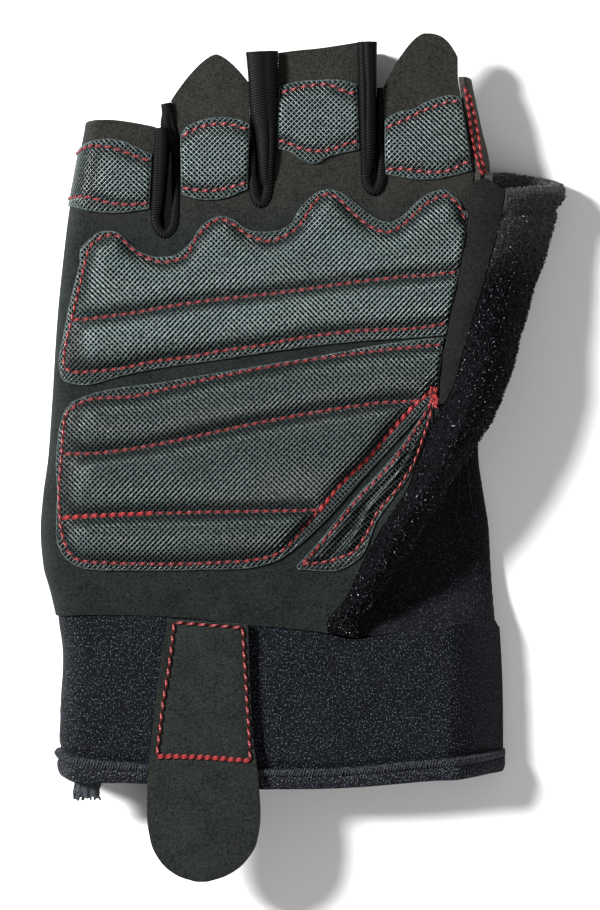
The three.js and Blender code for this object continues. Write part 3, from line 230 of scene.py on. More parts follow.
def even(line, step):
    s = np.r_[0, np.cumsum(np.linalg.norm(np.diff(line, axis=0), axis=1))]
    n = max(2, int(round(s[-1] / step)))
    t = np.linspace(0, s[-1], n + 1)
    return np.stack([np.interp(t, s, line[:, k]) for k in range(line.shape[1])], axis=1)


def inside(poly, x, y):
    poly = np.asarray(poly)
    a, b = poly, np.roll(poly, -1, axis=0)
    hit = np.zeros(np.shape(x), bool)
    for (x0, y0), (x1, y1) in zip(a, b):
        if y0 == y1:
            continue
        c = (y0 > y) != (y1 > y)
        hit ^= c & (x < (x1 - x0) * (y - y0) / (y1 - y0) + x0)
    return hit


def near(points, line):
    """Distance from each point to a densely sampled line."""
    d = np.full(len(points), 1e9)
    for k in range(0, len(line), 400):
        q = line[k:k + 400]
        d = np.minimum(d, ((points[:, None, :] - q[None]) ** 2).sum(-1).min(1))
    return np.sqrt(d)


def domain(lines, keep, spacing, box):
    """Even triangles over a flat region whose edges follow the given lines."""
    verts, edges = [], []
    for line in lines:
        base = len(verts)
        verts += [tuple(p) for p in line]
        edges += [(base + k, base + k + 1) for k in range(len(line) - 1)]
    every = np.asarray(verts)
    x0, y0, x1, y1 = box
    rows = int((y1 - y0) / (spacing * 0.866)) + 1
    pts = []
    for r in range(rows + 1):
        xs = np.arange(x0 + (0.5 * spacing if r % 2 else 0), x1 + spacing, spacing)
        pts.append(np.stack([xs, np.full(len(xs), y0 + r * spacing * 0.866)], 1))
    pts = np.vstack(pts)
    pts = pts[keep(pts[:, 0], pts[:, 1])]
    pts = pts[near(pts, every) > 0.5 * spacing]
    out = delaunay_2d_cdt([tuple(map(float, p)) for p in verts] + [tuple(map(float, p)) for p in pts], edges, [], 0, 1e-4, False)
    v = np.asarray([(p[0], p[1]) for p in out[0]])
    tri = np.asarray([f for f in out[2] if len(f) == 3], int)
    c = v[tri].mean(1)
    area = np.cross(v[tri[:, 1]] - v[tri[:, 0]], v[tri[:, 2]] - v[tri[:, 0]])
    tri = tri[keep(c[:, 0], c[:, 1]) & (np.abs(area) > 1e-5)]
    used = np.unique(tri)
    renum = np.full(len(v), -1)
    renum[used] = np.arange(len(used))
    v, tri = v[used], renum[tri]
    flip = np.cross(v[tri[:, 1]] - v[tri[:, 0]], v[tri[:, 2]] - v[tri[:, 0]]) < 0
    tri[flip] = tri[flip][:, ::-1]
    return v, tri


# ------------------------------------------------------------------ mesh making
def build(name, verts, faces, material, cloth=None, smooth=True, sharp=40, crest=None):
    """Mesh object from millimetres in the pattern frame; faces are arrays of triangles or quads."""
    me = bpy.data.meshes.new(name)
    v = (np.asarray(verts, float) - [CENTRE[0], CENTRE[1], 0]) * 0.001
    faces = [np.asarray(f, int) for f in faces if len(f)]
    mid, turned = v.mean(0), 0.0           # faces look outwards
    for f in faces:
        for k in range(1, f.shape[1] - 1):
            turned += np.einsum("ij,ij->", v[f[:, 0]] - mid, np.cross(v[f[:, k]] - mid, v[f[:, k + 1]] - mid))
    if turned < 0:
        faces = [f[:, ::-1] for f in faces]
    loops = np.concatenate([f.ravel() for f in faces])
    sizes = np.concatenate([np.full(len(f), f.shape[1]) for f in faces])
    me.vertices.add(len(v))
    me.vertices.foreach_set("co", v.ravel().astype(np.float32))
    me.loops.add(len(loops))
    me.loops.foreach_set("vertex_index", loops.astype(np.int32))
    me.polygons.add(len(sizes))
    me.polygons.foreach_set("loop_start", np.r_[0, np.cumsum(sizes)[:-1]].astype(np.int32))
    me.update(calc_edges=True)
    me.validate()
    me.polygons.foreach_set("use_smooth", np.full(len(me.polygons), smooth))
    if cloth is not None:
        a = me.attributes.new("cloth", "FLOAT_VECTOR", "POINT")
        c = np.zeros((len(v), 3), np.float32)
        c[:, :cloth.shape[1]] = cloth
        a.data.foreach_set("vector", c.ravel())
    if crest is not None:
        me.attributes.new("crest", "FLOAT", "POINT").data.foreach_set("value", np.asarray(crest, np.float32))
    if smooth and sharp:
        me.set_sharp_from_angle(angle=math.radians(sharp))
    me.materials.append(material)
    o = bpy.data.objects.new(name, me)
    bpy.context.scene.collection.objects.link(o)
    return o


def normals(p, tri):
    n = np.zeros_like(p)
    f = np.cross(p[tri[:, 1]] - p[tri[:, 0]], p[tri[:, 2]] - p[tri[:, 0]])
    for k in range(3):
        np.add.at(n, tri[:, k], f)
    return n / np.maximum(np.linalg.norm(n, axis=1, keepdims=True), 1e-12)


def shell(name, top, low, tri, material, cloth, round_edge=0.0):
    """Closed sheet between an upper and a lower surface on the same triangles."""
    n = len(top)
    e = np.sort(np.concatenate([tri[:, [0, 1]], tri[:, [1, 2]], tri[:, [2, 0]]]), axis=1)
    d = np.concatenate([tri[:, [0, 1]], tri[:, [1, 2]], tri[:, [2, 0]]])
    _, first, count = np.unique(e, axis=0, return_index=True, return_counts=True)
    b = d[first[count == 1]]
    rim_faces = np.stack([b[:, 0], b[:, 0] + n, b[:, 1] + n, b[:, 1]], 1)
    return build(name, np.vstack([top, low]), [tri, tri[:, ::-1] + n, rim_faces], material, np.vstack([cloth, cloth]))


def tube(rings, closed_ring):
    """Quads between rows of points; rings is (rows, columns, 3)."""
    r, c = rings.shape[:2]
    i, j = np.meshgrid(np.arange(r - 1), np.arange(c if closed_ring else c - 1), indexing="ij")
    j2 = (j + 1) % c
    q = np.stack([i * c + j, i * c + j2, (i + 1) * c + j2, (i + 1) * c + j], -1).reshape(-1, 4)
    return q


def thick(name, outer, inner, ring, material, cloth):
    """Closed solid between two gridded surfaces (rows, columns, 3)."""
    r, c = outer.shape[:2]
    q = tube(outer, ring)
    n = r * c
    faces = [q, q[:, ::-1] + n]
    j = np.arange(c if ring else c - 1)
    j2 = (j + 1) % c
    faces.append(np.stack([j, j + n, j2 + n, j2], 1))
    faces.append(np.stack([(r - 1) * c + j, (r - 1) * c + j2, (r - 1) * c + j2 + n, (r - 1) * c + j + n], 1))
    if not ring:
        i = np.arange(r - 1)
        faces.append(np.stack([i * c, (i + 1) * c, (i + 1) * c + n, i * c + n], 1))
        k = i * c + c - 1
        faces.append(np.stack([k, k + n, k + c + n, k + c], 1))
    v = np.vstack([outer.reshape(-1, 3), inner.reshape(-1, 3)])
    f = [x for x in faces]
    cl = np.vstack([cloth.reshape(-1, cloth.shape[-1])] * 2)
    # turn the faces out
    vol = 0.0
    for x in f:
        a, b2, c2 = v[x[:, 0]], v[x[:, 1]], v[x[:, 2]]
        vol += float((a * np.cross(b2, c2)).sum())
        if x.shape[1] == 4:
            vol += float((a * np.cross(c2, v[x[:, 3]])).sum())
    if vol < 0:
        f = [x[:, ::-1] for x in f]
    return build(name, v, f, material, cl)


def grid_normals(p, ring=False):
    du = (np.roll(p, -1, 1) - np.roll(p, 1, 1)) if ring else np.gradient(p, axis=1)
    dv = np.gradient(p, axis=0)
    n = np.cross(du, dv)
    return n / np.maximum(np.linalg.norm(n, axis=-1, keepdims=True), 1e-12)


def strands(name, paths, radius, sides, material, flat=1.0, taper=True):
    """Round threads along many short paths, joined in one mesh. Each path is (n, 3)."""
    by = {}
    for p in paths:
        by.setdefault(len(p), []).append(p)
    verts, quads, tris, cloth, base = [], [], [], [], 0
    ang = np.arange(sides) * 2 * math.pi / sides
    for n, group in by.items():
        p = np.asarray(group)                                  # (m, n, 3)
        t = np.gradient(p, axis=1)
        t /= np.maximum(np.linalg.norm(t, axis=-1, keepdims=True), 1e-9)
        up = np.zeros_like(t)
        up[..., 2] = 1
        side = np.cross(t, up)
        side /= np.maximum(np.linalg.norm(side, axis=-1, keepdims=True), 1e-9)
        nor = np.cross(side, t)
        s = np.linspace(0, 1, n)
        r = radius * (np.clip(np.minimum(s, 1 - s) * 7, 0.35, 1.0) if taper else np.ones(n))
        r = r[None, :, None, None]
        ring = (p[:, :, None, :] + side[:, :, None, :] * (np.cos(ang)[None, None, :, None] * r)
                + nor[:, :, None, :] * (np.sin(ang)[None, None, :, None] * r * flat))
        m = len(p)
        verts.append(ring.reshape(-1, 3))
        cl = np.zeros((m, n, sides, 3))
        cl[..., 2] = s[None, :, None]
        cl[..., 0] = np.r_[0, np.cumsum(np.linalg.norm(np.diff(p[0], axis=0), axis=1))][None, :, None]
        cl[..., 1] = (ang / (2 * math.pi))[None, None, :]
        cloth.append(cl.reshape(-1, 3))
        a = np.arange(m)[:, None, None] * n * sides + np.arange(n - 1)[None, :, None] * sides
        k = np.arange(sides)[None, None, :]
        k2 = (k + 1) % sides
        q = np.stack([a + k, a + k2, a + sides + k2, a + sides + k], -1).reshape(-1, 4) + base
        quads.append(q)
        first = np.arange(m)[:, None] * n * sides + base
        last = first + (n - 1) * sides
        for j in range(1, sides - 1):
            tris.append(np.concatenate([first, first + j + 1, first + j], 1))
            tris.append(np.concatenate([last, last + j, last + j + 1], 1))
        base += m * n * sides
    return build(name, np.vstack(verts), [np.vstack(quads), np.vstack(tris)], material, np.vstack(cloth), sharp=60)


# ------------------------------------------------------------------ palm surface
def crown(x, y):
    s = [-54.0] + [(q["xa1"] + q["xb1"]) / 2 for q in SLITS.values()] + [43.0]
    out = np.zeros(np.shape(x))
    for a, b in zip(s[:-1], s[1:]):
        t = (2 * (x - a)) / (b - a) - 1
        out = np.where((x >= a) & (x <= b), -0.9 * t**4 * ease((y - 50) / 12), out)
    return np.where(y < 50, 0.0, out)


def palm_z(x, y):
    top = body["top"](y)
    z = top + crown(x, y)
    crease = y - (16.6 + (x + 54) * 0.115)
    z = z - 0.7 * np.exp(-(crease**2) / 7) * ease((38 - x) / 20)
    sx = thumb["sx"](y)
    t = clamp((x - (sx - 13)) / 13)
    z = z + np.where(y < 13, mix(thumb["sz"](y) - top, 0, ease((y - 9) / 4)) * t * t, 0)
    # soft dents of worn suede
    z = z + 0.16 * noise(x, y, 17, 3) * ease((x + 50) / 8) + 0.07 * noise(x, y, 6, 5)
    return z


def palm_point(w, y, inward=0.0):
    """Point of the palm suede; w is x on the flat and runs on round the side."""
    w, y = np.broadcast_arrays(np.asarray(w, float), np.asarray(y, float))
    xl, al, zl = body["xl"](y), body["al"](y), body["zl"](y)
    x0 = xl + al
    c = 6 + (w - x0) / UNROLL
    a = np.radians(mix(SEAM_LOW, 90, clamp(c / 6)))
    top = palm_z(x0 + 0.01, y)
    side_x = np.where(a < 0, xl + FLOOR_ROUND * (1 - np.cos(a)), xl + al * (1 - pw(np.cos(a))))
    side_z = np.where(a < 0, zl + zl * np.sin(a), zl + (top - zl) * pw(np.abs(np.sin(a))))
    flat = w >= x0
    return np.stack([np.where(flat, w, side_x), y, np.where(flat, palm_z(w, y), side_z)], -1)


def palm_normal(w, y, e=0.12):
    n = np.cross(palm_point(w + e, y) - palm_point(w - e, y), palm_point(w, y + e) - palm_point(w, y - e))
    return n / np.maximum(np.linalg.norm(n, axis=-1, keepdims=True), 1e-9)


def unroll(line):
    """Turns x, seen from above, into distance along the cloth round the little-finger side."""
    line = np.array(line, float)
    x, y = line[:, 0], line[:, 1]
    xl, al = body["xl"](y), body["al"](y)
    t = clamp(1 - (x - xl) / al)
    a = np.degrees(np.arccos(clamp(t ** (SIDE_POWER / 2), 0, 1)))
    w = xl + al + ((a - SEAM_LOW) / (90 - SEAM_LOW) * 6 - 6) * UNROLL
    line[:, 0] = np.where(x >= xl + al, x, w)
    return line


def tip(name, x):
    f = FINGERS[name]
    left = f["yl"] + (f["yp"] - f["yl"]) * (1 - clamp(1 - (x - f["xl"]) / (f["xp"] - f["xl"])) ** f["pl"])
    right = f["yr"] + (f["yp"] - f["yr"]) * (1 - clamp((x - f["xp"]) / (f["xr"] - f["xp"])) ** f["pr"])
    return np.where(x <= f["xp"], left, right)


def slit_path(s, d, side=30, rounds=28, extra=0.0):
    yr = s["root"] + s["round"]
    xa = lambda y: mix(s["xa1"], s["xa0"], clamp((y - yr) / (s["topA"] - yr))) + d
    xb = lambda y: np.where(y > s["kneeB"], mix(s["kneeX"], s["xb0"], clamp((y - s["kneeB"]) / (s["topB"] - s["kneeB"]))),
                            mix(s["xb1"], s["kneeX"], clamp((y - yr) / (s["kneeB"] - yr)))) - d
    ya = np.linspace(s["topA"] + extra, yr, side + 1)[:-1]
    yb = np.linspace(yr, s["topB"] + extra, side + 1)[1:]
    a = math.pi * (1 + np.arange(rounds + 1) / rounds)
    cx, rx, ry = (xa(yr) + xb(yr)) / 2, (xb(yr) - xa(yr)) / 2, s["round"] - d
    return np.vstack([np.stack([xa(ya), ya], 1), np.stack([cx + rx * np.cos(a), yr + ry * np.sin(a)], 1), np.stack([xb(yb), yb], 1)])


def palm_right(y):
    return np.where(y < 13.5, np.minimum(body["xe"](y) + 0.9, thumb["sx"](y) - 0.15), body["xe"](y) + 0.35 * ease((y - 60) / 4))


def palm_left(y):
    return body["xl"](y) + body["al"](y) - 6 * UNROLL


def finger_top(x):
    """Upper edge of the palm panel over all four fingers."""
    names = list(FINGERS)
    cuts = [(q["xa0"] + q["xb0"]) / 2 for q in SLITS.values()]
    out = tip(names[0], x)
    for name, c in zip(names[1:], cuts):
        out = np.where(x > c, tip(name, x), out)
    return out


# ------------------------------------------------------------------ materials
class Look:
    """A procedural cloth material, with sizes in millimetres."""

    def __init__(self, name, rough=0.85, sheen=0.0, sheen_rough=0.5, tint=(1, 1, 1), spec=0.3, cloth=False):
        self.m = bpy.data.materials.new(name)
        self.m.use_nodes = True
        self.t = self.m.node_tree
        self.p = self.t.nodes["Principled BSDF"]
        self.p.inputs["Roughness"].default_value = rough
        self.p.inputs["Specular IOR Level"].default_value = spec
        self.p.inputs["Sheen Weight"].default_value = sheen
        self.p.inputs["Sheen Roughness"].default_value = sheen_rough
        self.p.inputs["Sheen Tint"].default_value = (*tint, 1)
        if cloth:
            a = self.t.nodes.new("ShaderNodeAttribute")
            a.attribute_name = "cloth"
            self.at = a.outputs["Vector"]
        else:
            c = self.t.nodes.new("ShaderNodeTexCoord")
            s = self.t.nodes.new("ShaderNodeVectorMath")
            s.operation = "SCALE"
            s.inputs["Scale"].default_value = 1000
            self.t.links.new(c.outputs["Object"], s.inputs[0])
            self.at = s.outputs["Vector"]

    def link(self, value, socket):
        if hasattr(value, "node"):
            self.t.links.new(value, socket)
        else:
            socket.default_value = value

    def scaled(self, x=1.0, y=1.0, z=1.0, turn=0.0):
        n = self.t.nodes.new("ShaderNodeMapping")
        n.inputs["Scale"].default_value = (x, y, z)
        n.inputs["Rotation"].default_value = (0, 0, math.radians(turn))
        self.t.links.new(self.at, n.inputs["Vector"])
        return n.outputs["Vector"]

    def noise(self, per_mm, detail=2.0, rough=0.5, at=None, distort=0.0):
        n = self.t.nodes.new("ShaderNodeTexNoise")
        n.inputs["Scale"].default_value = per_mm
        n.inputs["Detail"].default_value = detail
        n.inputs["Roughness"].default_value = rough
        n.inputs["Distortion"].default_value = distort
        self.t.links.new(at or self.at, n.inputs["Vector"])
        return n.outputs["Fac"]

    def cells(self, per_mm, at=None, feature="F1"):
        n = self.t.nodes.new("ShaderNodeTexVoronoi")
        n.feature = feature
        n.inputs["Scale"].default_value = per_mm
        self.t.links.new(at or self.at, n.inputs["Vector"])
        return n.outputs["Distance"]

    def wave(self, per_mm, axis="X", distort=0.0, at=None, kind="SIN"):
        n = self.t.nodes.new("ShaderNodeTexWave")
        n.bands_direction = axis
        n.wave_profile = kind
        n.inputs["Scale"].default_value = per_mm / 3.183 * 10 / math.pi
        n.inputs["Distortion"].default_value = distort
        n.inputs["Detail"].default_value = 1.0
        self.t.links.new(at or self.at, n.inputs["Vector"])
        return n.outputs["Fac"]

    def math(self, op, a, b=0.0):
        n = self.t.nodes.new("ShaderNodeMath")
        n.operation = op
        self.link(a, n.inputs[0])
        self.link(b, n.inputs[1])
        return n.outputs[0]

    def along(self, axis, at=None):
        n = self.t.nodes.new("ShaderNodeSeparateXYZ")
        self.t.links.new(at or self.at, n.inputs[0])
        return n.outputs[axis]

    def step(self, value, low, high):
        n = self.t.nodes.new("ShaderNodeMapRange")
        n.interpolation_type = "SMOOTHSTEP"
        n.inputs["From Min"].default_value = low
        n.inputs["From Max"].default_value = high
        self.t.links.new(value, n.inputs["Value"])
        return n.outputs["Result"]

    def mix(self, fac, a, b):
        n = self.t.nodes.new("ShaderNodeMix")
        n.data_type = "RGBA"
        self.link(fac, n.inputs[0])
        self.link((*a, 1) if isinstance(a, tuple) else a, n.inputs[6])
        self.link((*b, 1) if isinstance(b, tuple) else b, n.inputs[7])
        return n.outputs[2]

    def bump(self, height, distance_mm, strength=1.0, below=None):
        n = self.t.nodes.new("ShaderNodeBump")
        n.inputs["Distance"].default_value = distance_mm * 0.001
        n.inputs["Strength"].default_value = strength
        self.t.links.new(height, n.inputs["Height"])
        if below is not None:
            self.t.links.new(below, n.inputs["Normal"])
        return n.outputs["Normal"]

    def done(self, color, normal=None, rough=None):
        self.t.links.new(color, self.p.inputs["Base Color"])
        if normal is not None:
            self.t.links.new(normal, self.p.inputs["Normal"])
        if rough is not None:
            self.t.links.new(rough, self.p.inputs["Roughness"])
        return self.m


def suede_look(name, dark, light, warm=0.0):
    k = Look(name, rough=0.92, sheen=0.04, sheen_rough=0.5, tint=(0.85, 0.95, 0.88), spec=0.04)
    nap = k.noise(2.7, 2, 0.8)
    blotch = k.noise(0.16, 3, 0.55, distort=0.6)
    grain = k.noise(1.5, 3, 0.65)
    f = k.math("ADD", k.math("MULTIPLY", nap, 0.62), k.math("ADD", k.math("MULTIPLY", blotch, 0.16), k.math("MULTIPLY", grain, 0.28)))
    c = k.mix(k.step(f, 0.36, 0.66), dark, light)
    speck = k.step(k.noise(2.2, 2, 0.7), 0.62, 0.72)
    c = k.mix(k.math("MULTIPLY", speck, 0.65), c, tuple(2.2 * q for q in light))
    if warm:                       # browner and paler towards the fingertips
        high = k.step(k.along("Y"), 44.0, 66.0)
        c = k.mix(k.math("MULTIPLY", high, warm), c, k.mix(k.step(f, 0.36, 0.66), (0.0046, 0.0046, 0.0038), (0.0270, 0.0258, 0.0222)))
    n = k.bump(nap, 0.16, 0.8)
    n = k.bump(grain, 0.20, 0.35, n)
    return k.done(c, n)


def strand_look(name, dark=(0.135, 0.182, 0.177), light=(0.450, 0.550, 0.535), weave=True):
    """Glossy yarn. In each part of the cloth one family of threads is darkened with painted shade, so the other stands
    out as if it caught the highlight.
    """
    k = Look(name, rough=0.26 if weave else 0.75, spec=0.7 if weave else 0.12, cloth=True)
    fine = k.noise(2.2, 3, 0.6)
    c = k.mix(k.step(fine, 0.32, 0.68), dark, light)
    if weave:
        # painted shade: one thread family darker in each region, standing in for the highlight on the other
        turn = k.step(k.noise(0.045, 1, 0.5), 0.38, 0.66)
        off = k.math("ABSOLUTE", k.math("SUBTRACT", k.along("Z"), turn))
        c = k.mix(k.math("MULTIPLY", off, 0.80), c, (0.022, 0.030, 0.030))
        # painted shade: the strands darken towards the wrist, below y = 29
        c = k.mix(k.math("MULTIPLY", k.step(k.along("Y"), 29.0, 16.0), 0.54), c, (0.010, 0.014, 0.014))
    if weave:                      # painted shade down in the sewn channels, the crests keep the yarn's colour
        a = k.t.nodes.new("ShaderNodeAttribute")
        a.attribute_name = "crest"
        c = k.mix(k.step(a.outputs["Fac"], 1.0, 0.0), c, k.mix(0.80, c, (0.004, 0.006, 0.006)))
    return k.done(c, k.bump(fine, 0.04, 0.4), k.math("ADD", 0.20, k.math("MULTIPLY", fine, 0.16)) if weave else None)


def backing_look(name):
    k = Look(name, rough=0.9, spec=0.05)
    f = k.noise(1.6, 3, 0.6)
    c = k.mix(k.step(f, 0.3, 0.75), (0.0016, 0.0026, 0.0026), (0.0060, 0.0090, 0.0088))
    return k.done(c, k.bump(f, 0.1, 0.5))


def thread_look(name, dark, light, glint, arched=False):
    k = Look(name, rough=0.5, spec=0.14, sheen=0.03, cloth=True)
    ply = k.wave(2.6, "DIAGONAL", 0.4, at=k.scaled(1.0, 0.55, 1))
    fuzz = k.noise(5.0, 3, 0.6)
    c = k.mix(k.step(k.math("MULTIPLY", k.math("ADD", ply, fuzz), 0.5), 0.25, 0.75), dark, light)
    # painted highlight: the glint colour where the fuzz is high
    shine = k.step(fuzz, 0.55, 0.66)
    if arched:                     # painted highlight on each stitch's arch and painted shade where it dives in
        arch = k.step(k.math("SUBTRACT", 1.0, k.math("ABSOLUTE", k.math("SUBTRACT", k.math("MULTIPLY", k.along("Z"), 2.0), 1.0))), 0.18, 0.95)
        c = k.mix(arch, dark, c)
        shine = k.math("MULTIPLY", k.math("MULTIPLY", k.step(fuzz, 0.51, 0.65), 0.9), arch)
    c = k.mix(shine, c, glint)
    return k.done(c, k.bump(k.math("ADD", ply, k.math("MULTIPLY", fuzz, 0.5)), 0.08, 0.8))


def knit_look(name, dark, light):
    k = Look(name, rough=0.45, spec=0.06, sheen=0.0, sheen_rough=0.35, cloth=True)
    fine = k.noise(4.0, 3, 0.6)
    # painted highlight on the rib tops and painted shade in the grooves between them
    rib = k.math("POWER", k.along("Z"), 2.0)
    f = k.math("MULTIPLY", rib, k.math("ADD", 0.35, k.math("MULTIPLY", fine, 1.3)))
    c = k.mix(k.step(f, 0.1, 1.0), dark, light)
    return k.done(c, k.bump(fine, 0.06, 0.6), k.math("SUBTRACT", 0.66, k.math("MULTIPLY", rib, 0.26)))


def terry_look(name, dark, light, speck, often=0.66):
    k = Look(name, rough=0.8, spec=0.05, sheen=0.03, sheen_rough=0.4, tint=(0.85, 0.88, 1.0))
    cell = k.cells(1.25)
    fine = k.noise(3.0, 3, 0.7)
    f = k.math("ADD", k.math("MULTIPLY", k.math("SUBTRACT", 0.75, cell), 0.6), k.math("MULTIPLY", fine, 0.6))
    c = k.mix(k.step(f, 0.35, 0.85), dark, light)
    pale_mouth_end = k.math("MULTIPLY", k.step(k.along("Y"), 38.0, 56.0), k.step(fine, 0.30, 0.60))      # paler towards the mouth; on the rolled rim this is painted light
    c = k.mix(k.math("MULTIPLY", pale_mouth_end, 0.8), c, (0.0400, 0.0404, 0.0424))
    # painted highlights: bright specks where loops catch the light
    c = k.mix(k.step(k.noise(1.7, 2, 0.6), often, often + 0.08), c, speck)
    c = k.mix(k.math("MULTIPLY", pale_mouth_end, 0.5), c, (0.0400, 0.0404, 0.0424))
    # painted light on the lining just inside the mouth
    inside_mouth = k.math("MULTIPLY", k.step(k.along("Y"), 58.6, 60.4), k.step(k.along("X"), 44.0, 47.5))
    c = k.mix(k.math("MULTIPLY", inside_mouth, 0.7), c, (0.090, 0.089, 0.089))
    n = k.bump(k.math("SUBTRACT", 1.0, cell), 0.3, 0.8)
    n = k.bump(fine, 0.15, 0.6, n)
    return k.done(c, n)


def jersey_look(name, dark, light, speck, column=1.3, often=0.55, show=0.8, cloth=True):
    """Heathered knit: fine mottle, faint columns and single bright filaments."""
    k = Look(name, rough=0.7, spec=0.06, sheen=0.02, sheen_rough=0.4, tint=(0.8, 0.86, 1.0), cloth=cloth)
    soft = k.noise(0.10, 2, 0.5)
    fine = k.noise(2.6, 2, 0.7, at=k.scaled(1.0, 0.8, 1))
    cols = k.wave(column, "X", 1.5)
    f = k.math("ADD", k.math("MULTIPLY", fine, 0.75), k.math("ADD", k.math("MULTIPLY", cols, 0.18), k.math("MULTIPLY", soft, 0.18)))
    c = k.mix(k.step(f, 0.36, 0.72), dark, light)
    bit = k.step(k.noise(2.7, 2, 0.6, at=k.scaled(1.15, 0.9, 1)), often, often + 0.12)
    c = k.mix(k.math("MULTIPLY", bit, show), c, speck)
    n = k.bump(fine, 0.22, 0.9)
    n = k.bump(cols, 0.06, 0.4, n)
    return k.done(c, n)


suede = suede_look("suede", (0.0014, 0.0022, 0.0021), (0.0140, 0.0172, 0.0160), warm=0.8)
suede_tab = suede_look("suede_tab", (0.0026, 0.0034, 0.0030), (0.0190, 0.0215, 0.0196))
strip_mat = suede_look("index_strip_suede", (0.0120, 0.0105, 0.0092), (0.0580, 0.0515, 0.0455))
thumb_mat = suede_look("thumb_suede_face", (0.0020, 0.0021, 0.0019), (0.0105, 0.0110, 0.0102))
strand_mat = strand_look("mesh_strand")
# thread looks take a dark, a light and a painted highlight colour
red_worn = thread_look("red_thread_worn", (0.080, 0.003, 0.004), (0.500, 0.020, 0.025), (1.0, 0.400, 0.390), arched=True)
dim_strand = strand_look("mesh_strand_gathered", (0.070, 0.094, 0.091), (0.280, 0.345, 0.335))
rim_mat = strand_look("mesh_rim", (0.010, 0.014, 0.014), (0.070, 0.090, 0.087), weave=False)
backing = backing_look("mesh_backing")
red = thread_look("red_thread", (0.030, 0.0007, 0.0013), (0.300, 0.0085, 0.0130), (1.0, 0.370, 0.360), arched=True)
knit = knit_look("rib_knit", (0.0002, 0.0002, 0.0004), (0.0064, 0.0065, 0.0078))
# terry looks take a dark, a light and a painted highlight speck colour
terry = terry_look("terry", (0.0006, 0.0006, 0.0010), (0.0052, 0.0052, 0.0070), (0.034, 0.034, 0.042))
loops_mat = terry_look("terry_loops", (0.0012, 0.0012, 0.0018), (0.0600, 0.0605, 0.0700), (0.640, 0.650, 0.680), often=0.64)
neoprene = jersey_look("neoprene_face", (0.0002, 0.0003, 0.0007), (0.0030, 0.0037, 0.0056), (0.092, 0.102, 0.124), often=0.565)
hem_mat = jersey_look("hem_face", (0.0003, 0.0005, 0.0010), (0.0080, 0.0090, 0.0120), (0.125, 0.134, 0.155), column=1.9)
stretch = jersey_look("stretch_back", (0.0005, 0.0005, 0.0009), (0.0080, 0.0080, 0.0102), (0.066, 0.066, 0.080), column=0.9, often=0.58, cloth=False)
# thread looks take a dark, a light and a painted highlight colour
black_thread = thread_look("black_thread", (0.0020, 0.0024, 0.0040), (0.0200, 0.0230, 0.0320), (0.0750, 0.0820, 0.1000))
hem_thread = thread_look("hem_thread", (0.0020, 0.0026, 0.0040), (0.0340, 0.0380, 0.0480), (0.150, 0.160, 0.180))
tail_mat = thread_look("tail_yarn", (0.0060, 0.0070, 0.0095), (0.0600, 0.0660, 0.0780), (0.200, 0.210, 0.235))
made = {}


def piece(o, slot, *nodes, on=None):
    """Rides on the glove's one body, or on the piece that it is sewn to."""
    if on is None:
        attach(o, "root")
    else:
        o.parent = on
    if nodes:
        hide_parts(*nodes)
    made[o.name] = o
    return o


# ------------------------------------------------------------------ palm suede
low_x = np.linspace(-80, 12, 230)
slit_lines = {k: slit_path(s, -0.02, extra=6) for k, s in SLITS.items()}
slit_polys = {k: np.vstack([[(v[0, 0], 120)], v, [(v[-1, 0], 120)]]) for k, v in slit_lines.items()}
ys = np.linspace(-44, 96, 330)


def palm_keep(x, y):
    k = (y > wrist(np.maximum(x, -56))) & (x < palm_right(y)) & (x > palm_left(y)) & (y < finger_top(x))
    for s in slit_polys.values():
        k &= ~inside(s, x, y)
    return k


lines = [np.stack([low_x, wrist(np.maximum(low_x, -56))], 1), np.stack([palm_right(ys), ys], 1), np.stack([palm_left(ys), ys], 1)]
for name, (a, b) in zip(FINGERS, [(-66, -31.2), (-30.5, -9.5), (-7.2, 15.0), (16.6, 42)]):
    xs = np.linspace(a, b, int((b - a) / 0.45))
    lines.append(np.stack([xs, tip(name, xs)], 1))
lines += [even(v, 0.5) for v in slit_lines.values()]
v2, tri = domain(lines, palm_keep, 1.15, (-72, -44, 42, 96))
top = palm_point(v2[:, 0], v2[:, 1])
nrm = normals(top, tri)
palm = shell("palm_suede", top, top - nrm * SUEDE, tri, suede, v2)
piece(palm, "suede", "palm_panel")


# ------------------------------------------------------------------ mesh pads
def pad_side(knots_low, knots_top, edge):
    """Side of a patch that follows an edge x(y) between its lower and upper corners."""
    y = np.linspace(knots_low[1], knots_top[1], max(3, int(abs(knots_top[1] - knots_low[1]) / 0.5)))
    return np.stack([edge(y), y], 1)


def pad_outline(name):
    c = CUTS[name]
    top_line, low_line = spline(c["top"], 0.45), spline(c["low"], 0.45)
    if name == "upper_palm_pad":
        left = spline([c["top"][0]] + c["left"] + [c["low"][0]], 0.45)
        right = pad_side(c["low"][-1], c["top"][-1], lambda y: np.minimum(thumb["fx"](y) - 0.25, body["xe"](y) - 0.1))
        right[0], right[-1] = low_line[-1], top_line[-1]
        ring = [left[:-1], low_line[:-1], right[:-1], top_line[::-1][:-1]]
    elif name == "lower_palm_pad":
        left = spline([c["top"][0]] + c["left"] + [c["low"][0]], 0.45)
        right = np.array([low_line[-1], (29.9, 12.6), (30.9, 14.5), (31.1, 18.0), (31.6, 22.0), top_line[-1]])
        ring = [left[:-1], low_line[:-1], even(right, 0.45)[:-1], top_line[::-1][:-1]]
    else:
        ring = [low_line, top_line[::-1]]
    return unroll(np.vstack(ring))


def pad_seams(name):
    return {k: unroll(spline(v, 0.3)) for k, v in SEAMS[name].items()}


